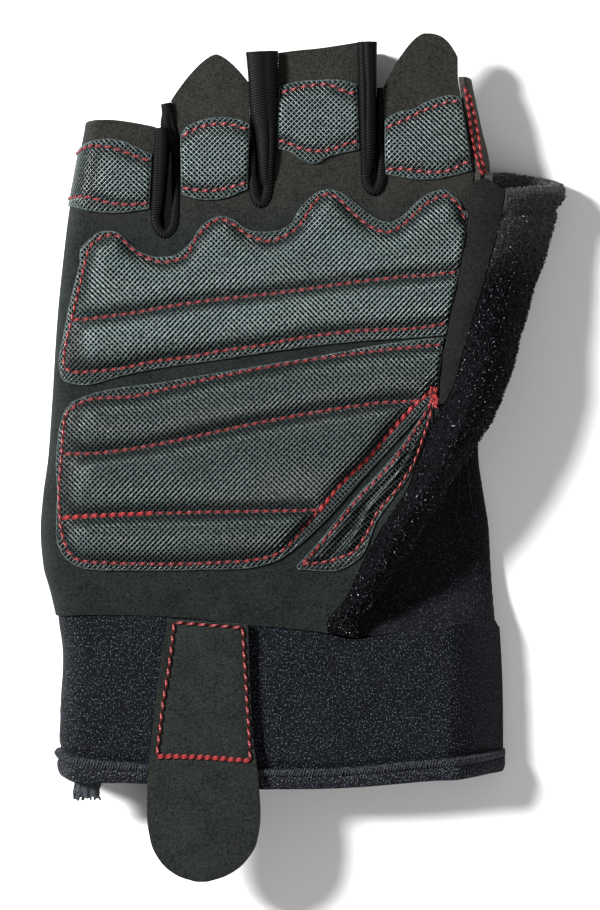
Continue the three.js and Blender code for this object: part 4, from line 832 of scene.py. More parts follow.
def sewn_region(name, seams):
    if name == "upper_palm_pad":
        return np.vstack([seams["left"], seams["low"], [[36.8, 30.0], [38.6, 52.0]], seams["top"][::-1]])
    if name == "lower_palm_pad":
        return np.vstack([seams["left"], seams["low"], seams["diagonal"][::-1], [[33, 16], [35, 24.7]], seams["top"][::-1]])
    if name == "thumb_base_pad":
        return np.vstack([seams["left"], seams["right"], seams["low"]])
    a, b = seams["low"], seams["top"]
    return np.vstack([[a[0] - [9, 0]], a, [a[-1] + [9, 0]], [b[-1] + [9, 0]], b[::-1], [b[0] - [9, 0]]])


ORDER = {"upper_palm_pad": ["top", "middle", "low"], "lower_palm_pad": ["top", "upper", "lower", "low"]}
PUFF = {"pad_pinky": 1.05, "pad_ring": 1.05, "pad_middle": 1.05, "pad_index": 1.05, "upper_palm_pad": 2.3, "lower_palm_pad": 2.2, "thumb_base_pad": 0.9}
pads = {}


def pad_height(name, w, y):
    """How far the mesh stands off the suede: pressed at the seams, padded between them."""
    q = pads[name]
    pts = np.stack([np.ravel(w), np.ravel(y)], 1)
    d = near(pts, q["every"])
    held = inside(q["region"], pts[:, 0], pts[:, 1])
    edge = near(pts, q["outline"])
    round_side = body["xl"](pts[:, 1]) + body["al"](pts[:, 1])
    puff = PUFF[name] * (1 - np.exp(-((d / 1.5) ** 1.5))) * ease((pts[:, 0] - round_side + 1.5) / 7)
    rows = ORDER.get(name)
    if rows:
        level = [np.interp(pts[:, 0], *seam_xy(q["seams"][r])) for r in rows]
        crest = np.zeros(len(pts))
        for up, down in zip(level[:-1], level[1:]):
            u = clamp((up - pts[:, 1]) / np.maximum(up - down, 0.5))
            here = (pts[:, 1] <= up) & (pts[:, 1] > down)
            crest = np.where(here, np.sin(math.pi * u ** 0.70) ** 0.9, crest)
        puff *= 0.35 + 0.95 * crest
    puff *= 1 + 0.10 * noise(pts[:, 0], pts[:, 1], 10, 21)
    loose = 0.16 * clamp(d / 1.0) + 0.13 * noise(pts[:, 0], pts[:, 1], 2.2, 23) * clamp(d / 0.8)
    h = mix(0.24, 0.66, ease((pts[:, 0] - round_side + 4) / 8)) + np.where(held, puff, loose) - 0.16 * np.exp(-((d / 0.45) ** 2))
    if name == "thumb_base_pad":       # lengthwise folds of the gathered strip
        to_left, to_right = near(pts, q["seams"]["left"]), near(pts, np.vstack([q["seams"]["right"]]))
        c = to_left / (to_left + to_right) + 0.05 * noise(pts[:, 0], pts[:, 1], 5, 31)
        folds = 1.9 * (0.5 + 0.5 * np.cos(2 * math.pi * (c * 1.55 - 0.16))) ** 1.2
        h = np.where(held, 0.35 + folds * ease(d / 1.4) * clamp((to_left + to_right) / 4.0), h)
    return (h * mix(0.55, 1.0, clamp(edge / 0.5))).reshape(np.shape(w))


def seam_xy(line):
    """A seam as x and y columns, x rising."""
    order = np.argsort(line[:, 0])
    return line[order, 0], line[order, 1]


def mesh_lines(poly, pitch, angle, shift):
    """Straight strands across a region: start, direction and length of each run."""
    a = math.radians(angle)
    d, n = np.array([math.cos(a), math.sin(a)]), np.array([-math.sin(a), math.cos(a)])
    s, t = poly @ n, poly @ d
    s2, t2 = np.roll(s, -1), np.roll(t, -1)
    runs = []
    for k in range(int(math.floor(s.min() / pitch)), int(math.ceil(s.max() / pitch)) + 1):
        level = k * pitch + shift
        c = (s > level) != (s2 > level)
        hits = np.sort(t[c] + (level - s[c]) / (s2[c] - s[c]) * (t2[c] - t[c]))
        for a0, a1 in zip(hits[::2], hits[1::2]):
            if a1 - a0 > pitch * 1.2:
                runs.append((k, level * n, d, a0, a1))
    return runs


def mesh_strands(name, poly, height, pitch, on, material):
    """Woven open mesh: two families of threads, over and under by turns."""
    verts, quads, base = [], [], 0
    half, rise = pitch * 0.105, 0.085
    for fam, angle in enumerate((46.0, -44.0)):
        for k, off, d, a0, a1 in mesh_lines(poly, pitch, angle, 0.0):
            j = np.arange(math.ceil(a0 / pitch), math.floor(a1 / pitch) + 1)
            t = np.r_[a0, j * pitch, a1]
            up = np.r_[0.0, np.where((j + k + fam) % 2 == 0, 1.0, -1.0), 0.0]
            if len(t) < 3:
                continue
            keep = np.r_[True, np.diff(t) > 0.12]
            t, up = t[keep], up[keep]
            c = off + d * t[:, None]
            verts.append((c, up, np.broadcast_to([-d[1], d[0]], c.shape), np.full(len(c), float(fam))))
    c = np.vstack([q[0] for q in verts])
    up = np.concatenate([q[1] for q in verts])
    side = np.vstack([q[2] for q in verts])
    h = height(c[:, 0], c[:, 1])
    p, nor = palm_point(c[:, 0], c[:, 1]), palm_normal(c[:, 0], c[:, 1])
    e = 0.1
    sd = palm_point(c[:, 0] + side[:, 0] * e, c[:, 1] + side[:, 1] * e) - p
    sd /= np.maximum(np.linalg.norm(sd, axis=1, keepdims=True), 1e-9)
    mid = p + nor * (h + 0.13 + rise * up)[:, None]
    wob = (1 + 0.12 * np.random.default_rng(8).uniform(-1, 1, len(mid)))[:, None]
    sec = [(-0.9, -0.07), (-0.78, 0.035), (0.0, 0.085), (0.78, 0.035), (0.9, -0.07)]
    v = np.stack([mid + sd * (half * a) * wob + nor * b for a, b in sec], 1).reshape(-1, 3)
    start = 0
    q, caps = [], []
    for g in verts:
        n = len(g[0])
        i = np.arange(start, start + n - 1)[:, None] * 5
        for x, y in ((0, 1), (1, 2), (2, 3), (3, 4), (4, 0)):
            q.append(np.concatenate([i + x, i + y, i + 5 + y, i + 5 + x], 1))
        a, b = start * 5, (start + n - 1) * 5
        caps += [(a, a + j, a + j + 1) for j in (1, 2, 3)] + [(b, b + j + 1, b + j) for j in (1, 2, 3)]
        start += n
    cl = np.repeat(np.column_stack([c, np.concatenate([q2[3] for q2 in verts])]), 5, axis=0)
    loose = ~inside(pads[name[:-5]]["region"], c[:, 0], c[:, 1])
    # crest: how high each strand rides on its puff, which sets its painted shade in the channels (0.42 on the loose
    # band)
    channel = 1 - np.exp(-((near(c, pads[name[:-5]]["every"]) / 2.1) ** 1.7))
    crest = clamp((h - 0.45) / (0.85 * PUFF[name[:-5]])) * channel
    crest = np.repeat(np.where(loose, 0.42, crest), 5)
    return piece(build(name, v, [np.vstack(q)[:, ::-1], np.array(caps)], material, cl, sharp=75, crest=crest), "mesh", on=on)


def sew(name, lines, height, on, pitch=STITCH, radius=THREAD / 2, surface=None, seed=4, double=0.0, material=None, slant=0.20):
    """A row of separate stitches, each a short slanted loop of thread that dives into the cloth."""
    rng = np.random.default_rng(seed)
    surface = surface or (lambda x, y: (palm_point(x, y), palm_normal(x, y)))
    runs = []
    t = np.linspace(0, 1, 10)
    for line in lines:
        line = np.asarray(line, float)
        for lane in ((-double / 2, double / 2) if double else (0.0,)):
            s = np.r_[0, np.cumsum(np.linalg.norm(np.diff(line, axis=0), axis=1))]
            n = max(1, int(round(s[-1] / pitch)))
            at = np.linspace(0, s[-1], n + 1)
            jit = rng.uniform(-0.07, 0.07, (n, 4))
            a, b = at[:-1] - 0.02 * pitch + jit[:, 0], at[1:] + 0.02 * pitch + jit[:, 1]
            q = a[:, None] + (b - a)[:, None] * t[None]
            xy = np.stack([np.interp(q, s, line[:, 0]), np.interp(q, s, line[:, 1])], -1)
            g = np.stack([np.interp(q + 0.3, s, line[:, 0]) - np.interp(q - 0.3, s, line[:, 0]),
                          np.interp(q + 0.3, s, line[:, 1]) - np.interp(q - 0.3, s, line[:, 1])], -1)
            g /= np.maximum(np.linalg.norm(g, axis=-1, keepdims=True), 1e-9)
            lean = (slant + jit[:, 2] * 0.6)[:, None] * (2 * t - 1)[None] + lane + jit[:, 3][:, None] * 0.6
            xy = xy + np.stack([-g[..., 1], g[..., 0]], -1) * lean[..., None]
            runs.append((xy, np.broadcast_to(np.sin(math.pi * t) ** 0.7, q.shape)))
    xy = np.concatenate([r[0] for r in runs])
    arch = np.concatenate([r[1] for r in runs])
    p, nor = surface(xy[..., 0], xy[..., 1])
    h = height(xy[..., 0], xy[..., 1]) if height else 0.0
    pts = p + nor * (h - 0.06 + 0.30 * arch + radius * 0.55)[..., None]
    return piece(strands(name, list(pts), radius, 6, material or red, flat=0.85), "thread", on=on)


for name in CUTS:
    outline = pad_outline(name)
    seams = pad_seams(name)
    pads[name] = dict(outline=np.vstack([outline, outline[:1]]), seams=seams, every=np.vstack(list(seams.values())), region=sewn_region(name, seams))
    q = pads[name]
    q["outline"] = even(q["outline"], 0.35)
    keep = lambda x, y, o=outline: inside(o, x, y)
    box = (*outline.min(0), *outline.max(0))
    spacing = 0.4 if name == "thumb_base_pad" else 0.8
    lines = [q["outline"]] + [even(s, 0.7) for s in seams.values()]
    v2, tri = domain(lines, keep, spacing, box)
    p, nor = palm_point(v2[:, 0], v2[:, 1]), palm_normal(v2[:, 0], v2[:, 1])
    h = pad_height(name, v2[:, 0], v2[:, 1])
    o = shell(name + "_foam", p + nor * h[:, None], p + nor * 0.12, tri, backing, v2)
    piece(o, "mesh", name)
    q["foam"] = o
    height = lambda x, y, n=name: pad_height(n, x, y)
    mesh_strands(name + "_mesh", outline, height, CELL, o, dim_strand if name == "thumb_base_pad" else strand_mat)
    ox, oy = q["outline"][:, 0], q["outline"][:, 1]
    rim_at = palm_point(ox, oy) + palm_normal(ox, oy) * (height(ox, oy) + 0.05)[:, None]
    piece(strands(name + "_rim", [rim_at], 0.17, 6, rim_mat, taper=False), "mesh", on=o)
    heavy = {"lower_palm_pad": ["diagonal", "lower"]}.get(name, [])
    sew(name + "_stitches", [v for k, v in seams.items() if k not in heavy], height, o, seed=len(made))
    if heavy:
        sew(name + "_bar_stitches", [seams["diagonal"], seams["lower"][:70]], height, o, seed=len(made), double=0.34, material=red_worn)
        sew(name + "_low_stitches", [seams["lower"][70:]], height, o, seed=len(made))


rng = np.random.default_rng(17)
knot = []
for _ in range(24):
    a, r = rng.uniform(0, 2 * math.pi), rng.uniform(0.5, 1.25)
    x0, y0 = 30.2 + rng.normal(0, 0.45), 13.0 + rng.normal(0, 0.95)
    ts = np.linspace(0, 1, 8)
    xs, ys2 = x0 + r * (ts - 0.5) * math.cos(a) + 0.3 * np.sin(ts * 5 + a), y0 + r * (ts - 0.5) * math.sin(a) + 0.3 * np.cos(ts * 4 + a)
    zs = palm_z(xs, ys2) + 0.5 + rng.uniform(0.2, 1.1) * np.sin(math.pi * ts)
    knot.append(np.stack([xs, ys2, zs], 1))
piece(strands("thread_knot", knot, 0.22, 6, red_worn), "thread", on=pads["lower_palm_pad"]["foam"])

# ------------------------------------------------------------------ finger walls
# Each wall is a rolled fold of knit: half width, crown height and foot, from the root of the slit up.
FOLDS = {
    "fourchette_pinky_ring": dict(
        left=dict(y=[53.8, 57, 62, 68, 71, 74], h=[1.00, 1.28, 1.38, 1.42, 1.40, 1.30], z=[15.9, 16.5, 16.9, 17.0, 16.9, 16.5], foot=[1.7, 1.7, 1.7, 1.7, 1.7, 1.7]),
        right=dict(y=[53.8, 57, 62, 67, 70, 72.5, 75, 77.5, 80], h=[1.00, 0.80, 0.72, 0.80, 1.50, 1.95, 1.75, 1.22, 1.02], z=[15.9, 14.6, 13.6, 13.3, 13.6, 14.6, 15.6, 15.9, 15.7], foot=[1.7] * 9)),
    "fourchette_ring_middle": dict(
        left=dict(y=[60.4, 63, 67, 72, 78, 91], h=[1.15, 0.86, 0.78, 0.74, 0.72, 0.72], z=[15.9, 15.7, 15.2, 13.6, 12.6, 12.6], foot=[1.7] * 6),
        right=dict(y=[60.4, 63, 67, 72, 78, 85, 91], h=[1.15, 1.62, 1.92, 2.30, 3.05, 3.28, 3.60], z=[15.9, 16.6, 17.1, 17.4, 17.6, 17.6, 17.3], foot=[1.7, 3.0, 8.0, 11.6, 12.6, 12.9, 12.9])),
    "fourchette_middle_index": dict(
        left=dict(y=[62.7, 65, 69, 75, 82, 93], h=[1.05, 1.35, 1.62, 1.72, 1.90, 2.15], z=[15.9, 16.6, 17.1, 17.4, 17.4, 17.0], foot=[1.7, 1.7, 1.7, 1.7, 1.7, 1.7]),
        right=dict(y=[62.7, 65, 69, 75, 80, 83], h=[1.05, 0.82, 0.70, 0.64, 0.60, 0.56], z=[15.9, 15.6, 15.2, 14.8, 14.4, 14.0], foot=[1.7, 1.7, 1.7, 1.7, 1.7, 1.7])),
}
RIB = 0.56                     # mm between the ribs of the knit


def finger_wall(name, s):
    edge = even(slit_path(s, 0.06, 60, 80), 0.1)
    t = np.gradient(edge, axis=0)
    t /= np.linalg.norm(t, axis=1, keepdims=True)
    inward = np.stack([-t[:, 1], t[:, 0]], 1)
    legs = {k: readers(v) for k, v in FOLDS[name].items()}
    bottom = np.argmin(edge[:, 1])
    on_left = np.arange(len(edge)) <= bottom
    pick = lambda c: np.where(on_left, legs["left"][c](edge[:, 1]), legs["right"][c](edge[:, 1]))
    h, z1, foot = pick("h"), pick("z"), pick("foot")
    centre = edge + inward * h[:, None]
    arc = np.r_[0, np.cumsum(np.linalg.norm(np.diff(centre, axis=0), axis=1))]
    n = int(arc[-1] / (RIB / 4))
    at = np.linspace(0, arc[-1], n + 1)
    again = lambda q: np.interp(at, arc, q)
    line = np.stack([again(centre[:, 0]), again(centre[:, 1])], 1)
    h, z1, foot = again(h), again(z1), again(foot)
    t = np.gradient(line, axis=0)
    for _ in range(6):
        t[1:-1] = (t[:-2] + 2 * t[1:-1] + t[2:]) / 4
    t /= np.linalg.norm(t, axis=1, keepdims=True)
    nor = np.stack([-t[:, 1], t[:, 0]], 1)
    sway = 0.12 * noise(at, 3 + 0 * at, 9, 42)
    wander = 0.10 * noise(at, 9 + 0 * at, 1.7, 44) + 0.25 * noise(at, 9 + 0 * at, 6, 45)
    dz = 0.22 * noise(at, 7 + 0 * at, 7, 43)
    dome = clamp(0.80 * h, 0.8, 1.7)
    sec = [(-0.90, 0.0, 0), (0.90, 0.0, 0), (0.95, 0.45, 0), (1.0, 0.8, 0), (1.0, 1.0, 0.2)]
    for a in np.linspace(0.06, 0.94, 17):
        sec.append((math.cos(a * math.pi), 1.0 + math.sin(a * math.pi) ** 0.75, 1))
    sec += [(-1.0, 1.0, 0.2), (-1.0, 0.8, 0), (-0.95, 0.45, 0)]
    rows = []
    for off, up, on in sec:
        x = off * h
        slant = 0.22 * x
        rib = np.abs(np.sin(math.pi * (at + slant + wander) / RIB)) ** 0.8
        fold = 0.30 * np.exp(-(((x + 0.25 * h + sway * 2) / 0.28) ** 2)) * clamp((h - 1.2) / 0.6)
        z = np.where(up <= 1.0, mix(foot, z1 - dome, min(up, 1.0)), z1 - dome + dome * (up - 1.0))
        lift = 0.13 * rib - fold * (up > 1.5)
        out = lift * (0.25 + 0.75 * abs(off)) * np.sign(off) if on or up > 0.5 else 0 * lift
        rows.append(np.stack([line[:, 0] + nor[:, 0] * (x + out), line[:, 1] + nor[:, 1] * (x + out), z + (dz + lift) * on], 1))
    rings = np.stack(rows, 1)
    n, c = rings.shape[:2]
    q = tube(rings, True)
    tri = [(0, k + 1, k) for k in range(1, c - 1)] + [((n - 1) * c, (n - 1) * c + k, (n - 1) * c + k + 1) for k in range(1, c - 1)]
    girth = np.cumsum([0] + [math.hypot(b[0] - a[0], b[1] - a[1]) for a, b in zip(sec[:-1], sec[1:])])
    hills = np.stack([np.abs(np.sin(math.pi * (at + 0.22 * off * h + wander) / RIB)) for off, up, on in sec], 1)
    cl = np.stack([*np.broadcast_arrays(at[:, None], girth[None, :]), hills], -1).reshape(-1, 3)
    return piece(build(name + "_knit", rings.reshape(-1, 3), [q[:, ::-1], np.array(tri)], knit, cl, sharp=50), "rib_knit", name)


for name, s in SLITS.items():
    finger_wall(name, s)


# ------------------------------------------------------------------ index side
def side_point(z, y):
    xe, xr = body["xe"](y) + 0.04, body["xr"](y)
    top = palm_z(body["xe"](y), y)
    x0 = xe + SUEDE
    s = clamp((z - 2.4) / (top - 2.4))
    return np.stack([x0 + (xr - x0) * np.sqrt(np.maximum(0, 1 - s * s)) * 0.98, y, z], -1)


yy, uu = np.meshgrid(np.linspace(28.2, 85.2, 110), np.linspace(0, 1, 26), indexing="ij")
top = palm_z(body["xe"](yy), yy)
ztop = np.minimum(top - 0.15, mix(6.4, top - 0.15, clamp((yy - 28.2) / 3.6)))
zz = mix(ztop, 4.55, uu)
outer = side_point(zz, yy)
inner = outer - np.array([SUEDE, 0, 0])
cl = np.stack([uu * 13, yy], -1)
side = piece(thick("index_side_suede", outer, inner, False, strip_mat, cl), "suede", "index_side_strip")


def side_surface(x, y):
    xe, xr = body["xe"](y) + 0.04, body["xr"](y)
    top = palm_z(body["xe"](y), y)
    x0 = xe + SUEDE
    r = clamp((x - x0) / ((xr - x0) * 0.98))
    z = 2.4 + np.sqrt(np.maximum(0, 1 - r * r)) * (top - 2.55)
    n = np.stack([0.35 + 0.6 * r, 0 * r, 1 - 0.5 * r], -1)
    return np.stack([x, y, z], -1), n / np.linalg.norm(n, axis=-1, keepdims=True)


sew("index_side_stitches", [spline(r, 0.3) for r in INDEX_ROWS], None, side, surface=side_surface, seed=51, radius=0.29, pitch=1.95, slant=0.16, material=red_worn)

# ------------------------------------------------------------------ thumb
KEYS = "uftsmeobj"


def thumb_point(k, y):
    """Round the thumb's section at y; k runs from under the fold to the inner end of the terry."""
    k, y = np.broadcast_arrays(np.asarray(k, float), np.asarray(y, float))
    px = np.stack([thumb[c + "x"](y) for c in KEYS], -1)
    pz = np.stack([thumb[c + "z"](y) for c in KEYS], -1)
    px = np.concatenate([2 * px[..., :1] - px[..., 1:2], px, 2 * px[..., -1:] - px[..., -2:-1]], -1)
    pz = np.concatenate([2 * pz[..., :1] - pz[..., 1:2], pz, 2 * pz[..., -1:] - pz[..., -2:-1]], -1)
    i = np.clip(np.floor(8 * k).astype(int), 0, 7)
    w = 8 * k - i
    get = lambda a, d: np.take_along_axis(a, (i + d)[..., None], -1)[..., 0]
    x, z = [get(px, d) for d in range(4)], [get(pz, d) for d in range(4)]
    dt = [np.maximum(np.hypot(x[q + 1] - x[q], z[q + 1] - z[q]) ** 0.5, 1e-4) for q in range(3)]

    def blend(a):
        t1 = ((a[1] - a[0]) / dt[0] - (a[2] - a[0]) / (dt[0] + dt[1]) + (a[2] - a[1]) / dt[1]) * dt[1]
        t2 = ((a[2] - a[1]) / dt[1] - (a[3] - a[1]) / (dt[1] + dt[2]) + (a[3] - a[2]) / dt[2]) * dt[1]
        return a[1] + t1 * w + (-3 * a[1] + 3 * a[2] - 2 * t1 - t2) * w**2 + (2 * a[1] - 2 * a[2] + t1 + t2) * w**3
    return np.stack([blend(x), y, np.maximum(blend(z), 0.4)], -1)


def thumb_grid(k0, k1, low, nu, nv):
    v, u = np.meshgrid(np.linspace(0, 1, nv), np.linspace(0, 1, nu), indexing="ij")
    k = mix(k0, k1, u)
    y = mix(low(k), rim(k), v)
    return thumb_point(k, y), k, y, v


front_low = lambda k: 11.5 + 0 * k
sleeve_low = lambda k: wrist(mix(7, 14, clamp((k - 0.375) / 0.5))) + 0.35

# suede strip: rolled over the fold, thin raw edge at the mouth
p, k, y, v = thumb_grid(0.118, 0.373, front_low, 40, 150)
nor = grid_normals(p)
nor *= np.sign((nor[60, 20] * [0, 0, 1]).sum())
bulge = 0.20 * noise(k * 40, y, 9, 61) + 0.08 * noise(k * 40, y, 3, 62)
edge = clamp(np.minimum(k - 0.118, 0.373 - k) / 0.05)
outer = p + nor * (bulge * edge)[..., None]
held = nor[:, np.maximum(np.arange(40), 10)]
inner = p - held * SUEDE * 0.9
cl = np.stack([k * 60, y], -1)
thumb_suede = piece(thick("thumb_suede", outer, inner, False, thumb_mat, cl), "suede", "thumb_front")

# terry tube: soft creases across it, rolled rim at the mouth, seam dip at the suede
p, k, y, v = thumb_grid(0.378, 1.0, sleeve_low, 110, 280)
nor = grid_normals(p)
nor *= np.sign((nor[140, 20] * [0, 0, 1]).sum())
girth = k * 62
end = rim(k) - y
roll = 0.95 * np.exp(-(((end - 2.2) / 1.9) ** 2)) - 0.55 * np.exp(-(((end - 5.6) / 0.9) ** 2))
crease = 0.0
for y0, lean, depth, wide in [(4, 0.10, 0.55, 2.2), (-6, 0.28, 0.60, 2.4), (-15, 0.35, 0.50, 2.0), (15, 0.05, 0.35, 2.0), (26, -0.1, 0.40, 2.4), (38, -0.06, 0.30, 2.0), (48, -0.02, 0.28, 1.8), (-24, 0.30, 0.35, 2.0)]:
    crease = crease - depth * np.exp(-(((y - y0 + lean * (girth - 38)) / wide) ** 2)) * np.exp(-(((girth - 44 - noise(y, y, 5, 66) * 3) / 9) ** 2))
bulge = 0.28 * noise(girth, y, 10, 63) + 0.16 * noise(girth, y, 4, 64) + 0.06 * noise(girth, y, 1.3, 65)
seam = -0.25 * np.exp(-((clamp((k - 0.378) / 0.015, 0, 9)) ** 2)) * ease((y - 8) / 6)
hold = clamp((1 - k) / 0.08) * clamp((y - sleeve_low(k)) / 2)
outer = p + nor * ((bulge + crease) * hold + roll + seam)[..., None]
outer[..., 2] = np.maximum(outer[..., 2], 0.3)
inner = p - nor * TERRY
cl = np.stack([girth, y], -1)
sleeve = piece(thick("thumb_terry", outer, inner, False, terry, cl), "terry", "thumb_sleeve")


# loops of the terry, in uneven rows, each a short arch of yarn
def terry_loops(name, surface, us, vs, keep, on, size=0.42, radius=0.095, seed=70):
    rng = np.random.default_rng(seed)
    p, nor = surface
    paths = []
    r, c = p.shape[:2]
    for a in us:
        for b in vs:
            i, j = a + rng.uniform(-0.6, 0.6) * (us[1] - us[0]), b + rng.uniform(-0.6, 0.6) * (vs[1] - vs[0])
            i0, j0 = int(np.clip(i, 0, r - 2)), int(np.clip(j, 0, c - 2))
            if not keep[i0, j0] or rng.uniform() < 0.12:
                continue
            q = p[i0, j0] + (p[i0 + 1, j0] - p[i0, j0]) * (i - i0) + (p[i0, j0 + 1] - p[i0, j0]) * (j - j0)
            n = nor[i0, j0]
            t = np.cross(n, rng.normal(size=3))
            t /= np.linalg.norm(t)
            s = size * rng.uniform(0.7, 1.35)
            paths.append([q - t * s * 0.5 - n * 0.05, q - t * s * 0.42 + n * s * 0.42, q + n * s * 0.72, q + t * s * 0.42 + n * s * 0.42, q + t * s * 0.5 - n * 0.05])
    return piece(strands(name, [np.array(q) for q in paths], radius, 3, loops_mat, taper=False), "terry", on=on)


steps = np.linalg.norm(np.diff(outer, axis=1), axis=-1).mean()
rowstep = np.linalg.norm(np.diff(outer, axis=0), axis=-1).mean()
keep = nor[..., 2] > -0.25
mouth = np.stack([outer[-1], (outer[-1] + inner[-1]) / 2, inner[-1]])
up = np.broadcast_to([0.0, 1.0, 0.25], mouth.shape)
terry_loops("thumb_rim_loops", (mouth, up / np.linalg.norm([0, 1, 0.25])), np.arange(0.2, 2.0, 0.5), np.arange(1, outer.shape[1] - 1, 0.45 / steps), np.ones(mouth.shape[:2], bool), sleeve, size=0.5, seed=71)
near_end = np.arange(outer.shape[0] - 2, outer.shape[0] - 2 - 9 / rowstep, -0.62 / rowstep)
terry_loops("thumb_lining_loops", (inner, -nor), near_end, np.arange(1, outer.shape[1] - 1, 0.62 / steps), np.ones(outer.shape[:2], bool), sleeve, size=0.5, seed=72)
terry_loops("thumb_terry_loops", (outer, nor), np.arange(1, outer.shape[0] - 1, 0.66 / rowstep), np.arange(1, outer.shape[1] * 0.90, 0.66 / steps), keep, sleeve)


# ------------------------------------------------------------------ back of the hand
ROUND = dict(c=[0, 3, 6, 9, 20, 23], w=[0, 7, 12, 16, 109, 116])       # table columns to cloth width
W_OF_C = lambda c: np.interp(c, ROUND["c"], ROUND["w"])
C_OF_W = lambda w: np.interp(w, ROUND["w"], ROUND["c"])


def back_point(c, y, t=0.0):
    s = clamp(c / 3)
    kx = mix(flap["kx"](y), body["xr"](y) - 0.25, ease((y - 14) / 8))
    xr, zr, fw, fz = body["xr"](y), body["zr"](y), flap["fw"](y), flap["fz"](y)
    up = y > 9
    x = mix(kx, xr - fw, s)
    x = np.where(up, np.minimum(x, xr) - t, x)
    z = mix(flap["kz"](y), fz, s) - np.where(up, 0, t)
    w = np.maximum(fw - t, 0.02)
    a = np.radians(mix(90, 0, clamp((c - 3) / 3)))
    x2, z2 = xr - t - w * (1 - np.cos(a)), zr + (fz - zr - np.where(up, 0, t)) * np.sin(a)
    a = np.radians(mix(0, -90, clamp((c - 6) / 3)))
    x3, z3 = xr - t - (3.6 - t) * (1 - np.cos(a)), zr + (zr - t) * np.sin(a)
    xl, zl = body["xl"](y), body["zl"](y)
    x4 = mix(xr - 3.6, xl + FLOOR_ROUND, clamp((c - 9) / 11))
    a = np.radians(mix(-90, SEAM_LOW - 6, clamp((c - 20) / 3)))
    x5, z5 = xl + t + (FLOOR_ROUND - t) * (1 - np.cos(a)), zl + (zl - t) * np.sin(a)
    pick = lambda a, b, d, e, f: np.where(c <= 3, a, np.where(c <= 6, b, np.where(c <= 9, d, np.where(c <= 20, e, f))))
    return np.stack([pick(x, x2, x3, x4, x5), y + 0 * c, pick(z, z2, z3, t + 0 * x4, z5)], -1)


def back_low(c):
    return np.where(c <= 3, wrist(mix(14, 34, clamp(c / 3))) + 0.1, mix(wrist(40), WRIST_BACK, clamp((c - 3) / 5)))


def back_w(x, y):
    xr, xl = body["xr"](y), body["xl"](y)
    return W_OF_C(9 + 11 * (xr - 3.6 - x) / (xr - 3.6 - xl - FLOOR_ROUND))


notches = []
for s in SLITS.values():
    c0, d0 = (s["xa1"] + s["xb1"]) / 2, (s["xa0"] + s["xb0"]) / 2
    ring = np.array([(c0 - 0.9, s["root"] + 2.2), (c0 + 0.9, s["root"] + 2.2), (d0 + 1.0, 110.0), (d0 - 1.0, 110.0), (c0 - 0.9, s["root"] + 2.2)])
    ring = even(ring, 0.6)
    notches.append(np.stack([back_w(ring[:, 0], np.minimum(ring[:, 1], 96)), ring[:, 1]], 1))
cuts = [(q["xa0"] + q["xb0"]) / 2 for q in SLITS.values()]


def back_top(w, y):
    c = C_OF_W(w)
    p = back_point(c, np.minimum(y, 92))
    x = p[..., 0]
    out = np.full(np.shape(x), FINGERS["pinky"]["back"])
    for f, k in zip(["ring", "middle", "index"], cuts):
        out = np.where(x > k, FINGERS[f]["back"], out)
    return out


def back_keep(w, y):
    k = (y > back_low(C_OF_W(w))) & (y < back_top(w, y)) & (w > 0) & (w < 116)
    for s in notches:
        k &= ~inside(s, w, y)
    return k


ws = np.linspace(0, 116, 260)
lines = [np.stack([ws, back_low(C_OF_W(ws))], 1)] + notches
for edge_w in (0.0, 116.0):
    lines.append(np.stack([np.full(240, edge_w), np.linspace(-43, 90, 240)], 1))
for f in FINGERS.values():
    lines.append(np.stack([np.linspace(-1, 117, 260), np.full(260, f["back"])], 1))
v2, tri = domain(lines, back_keep, 1.5, (0, -43, 116, 90))
c = C_OF_W(v2[:, 0])
outer, inner = back_point(c, v2[:, 1]), back_point(c, v2[:, 1], BACK)
soft = 0.12 * noise(v2[:, 0], v2[:, 1], 8, 81) * clamp((12 - v2[:, 0]) / 3)
outer[:, 2] += soft
flipped = tri[:, ::-1]
back = shell("back_stretch", outer, inner, flipped, stretch, v2)
piece(back, "stretch_fabric", "back_panel")


def flap_surface(c, y, e=0.05):
    n = np.cross(back_point(c, y + e) - back_point(c, y - e), back_point(c + e, y) - back_point(c - e, y))
    n /= np.maximum(np.linalg.norm(n, axis=-1, keepdims=True), 1e-9)
    return back_point(c, y), n * np.sign(n[..., 2:3] + 1e-9)


sew("back_flap_stitches", [np.array([(c1, y) for y in np.linspace(-14, 2.5, 60)]) for c1 in (2.15, 3.1)], None, back, surface=flap_surface, seed=82, material=black_thread, radius=0.17, pitch=1.4, slant=0.03)


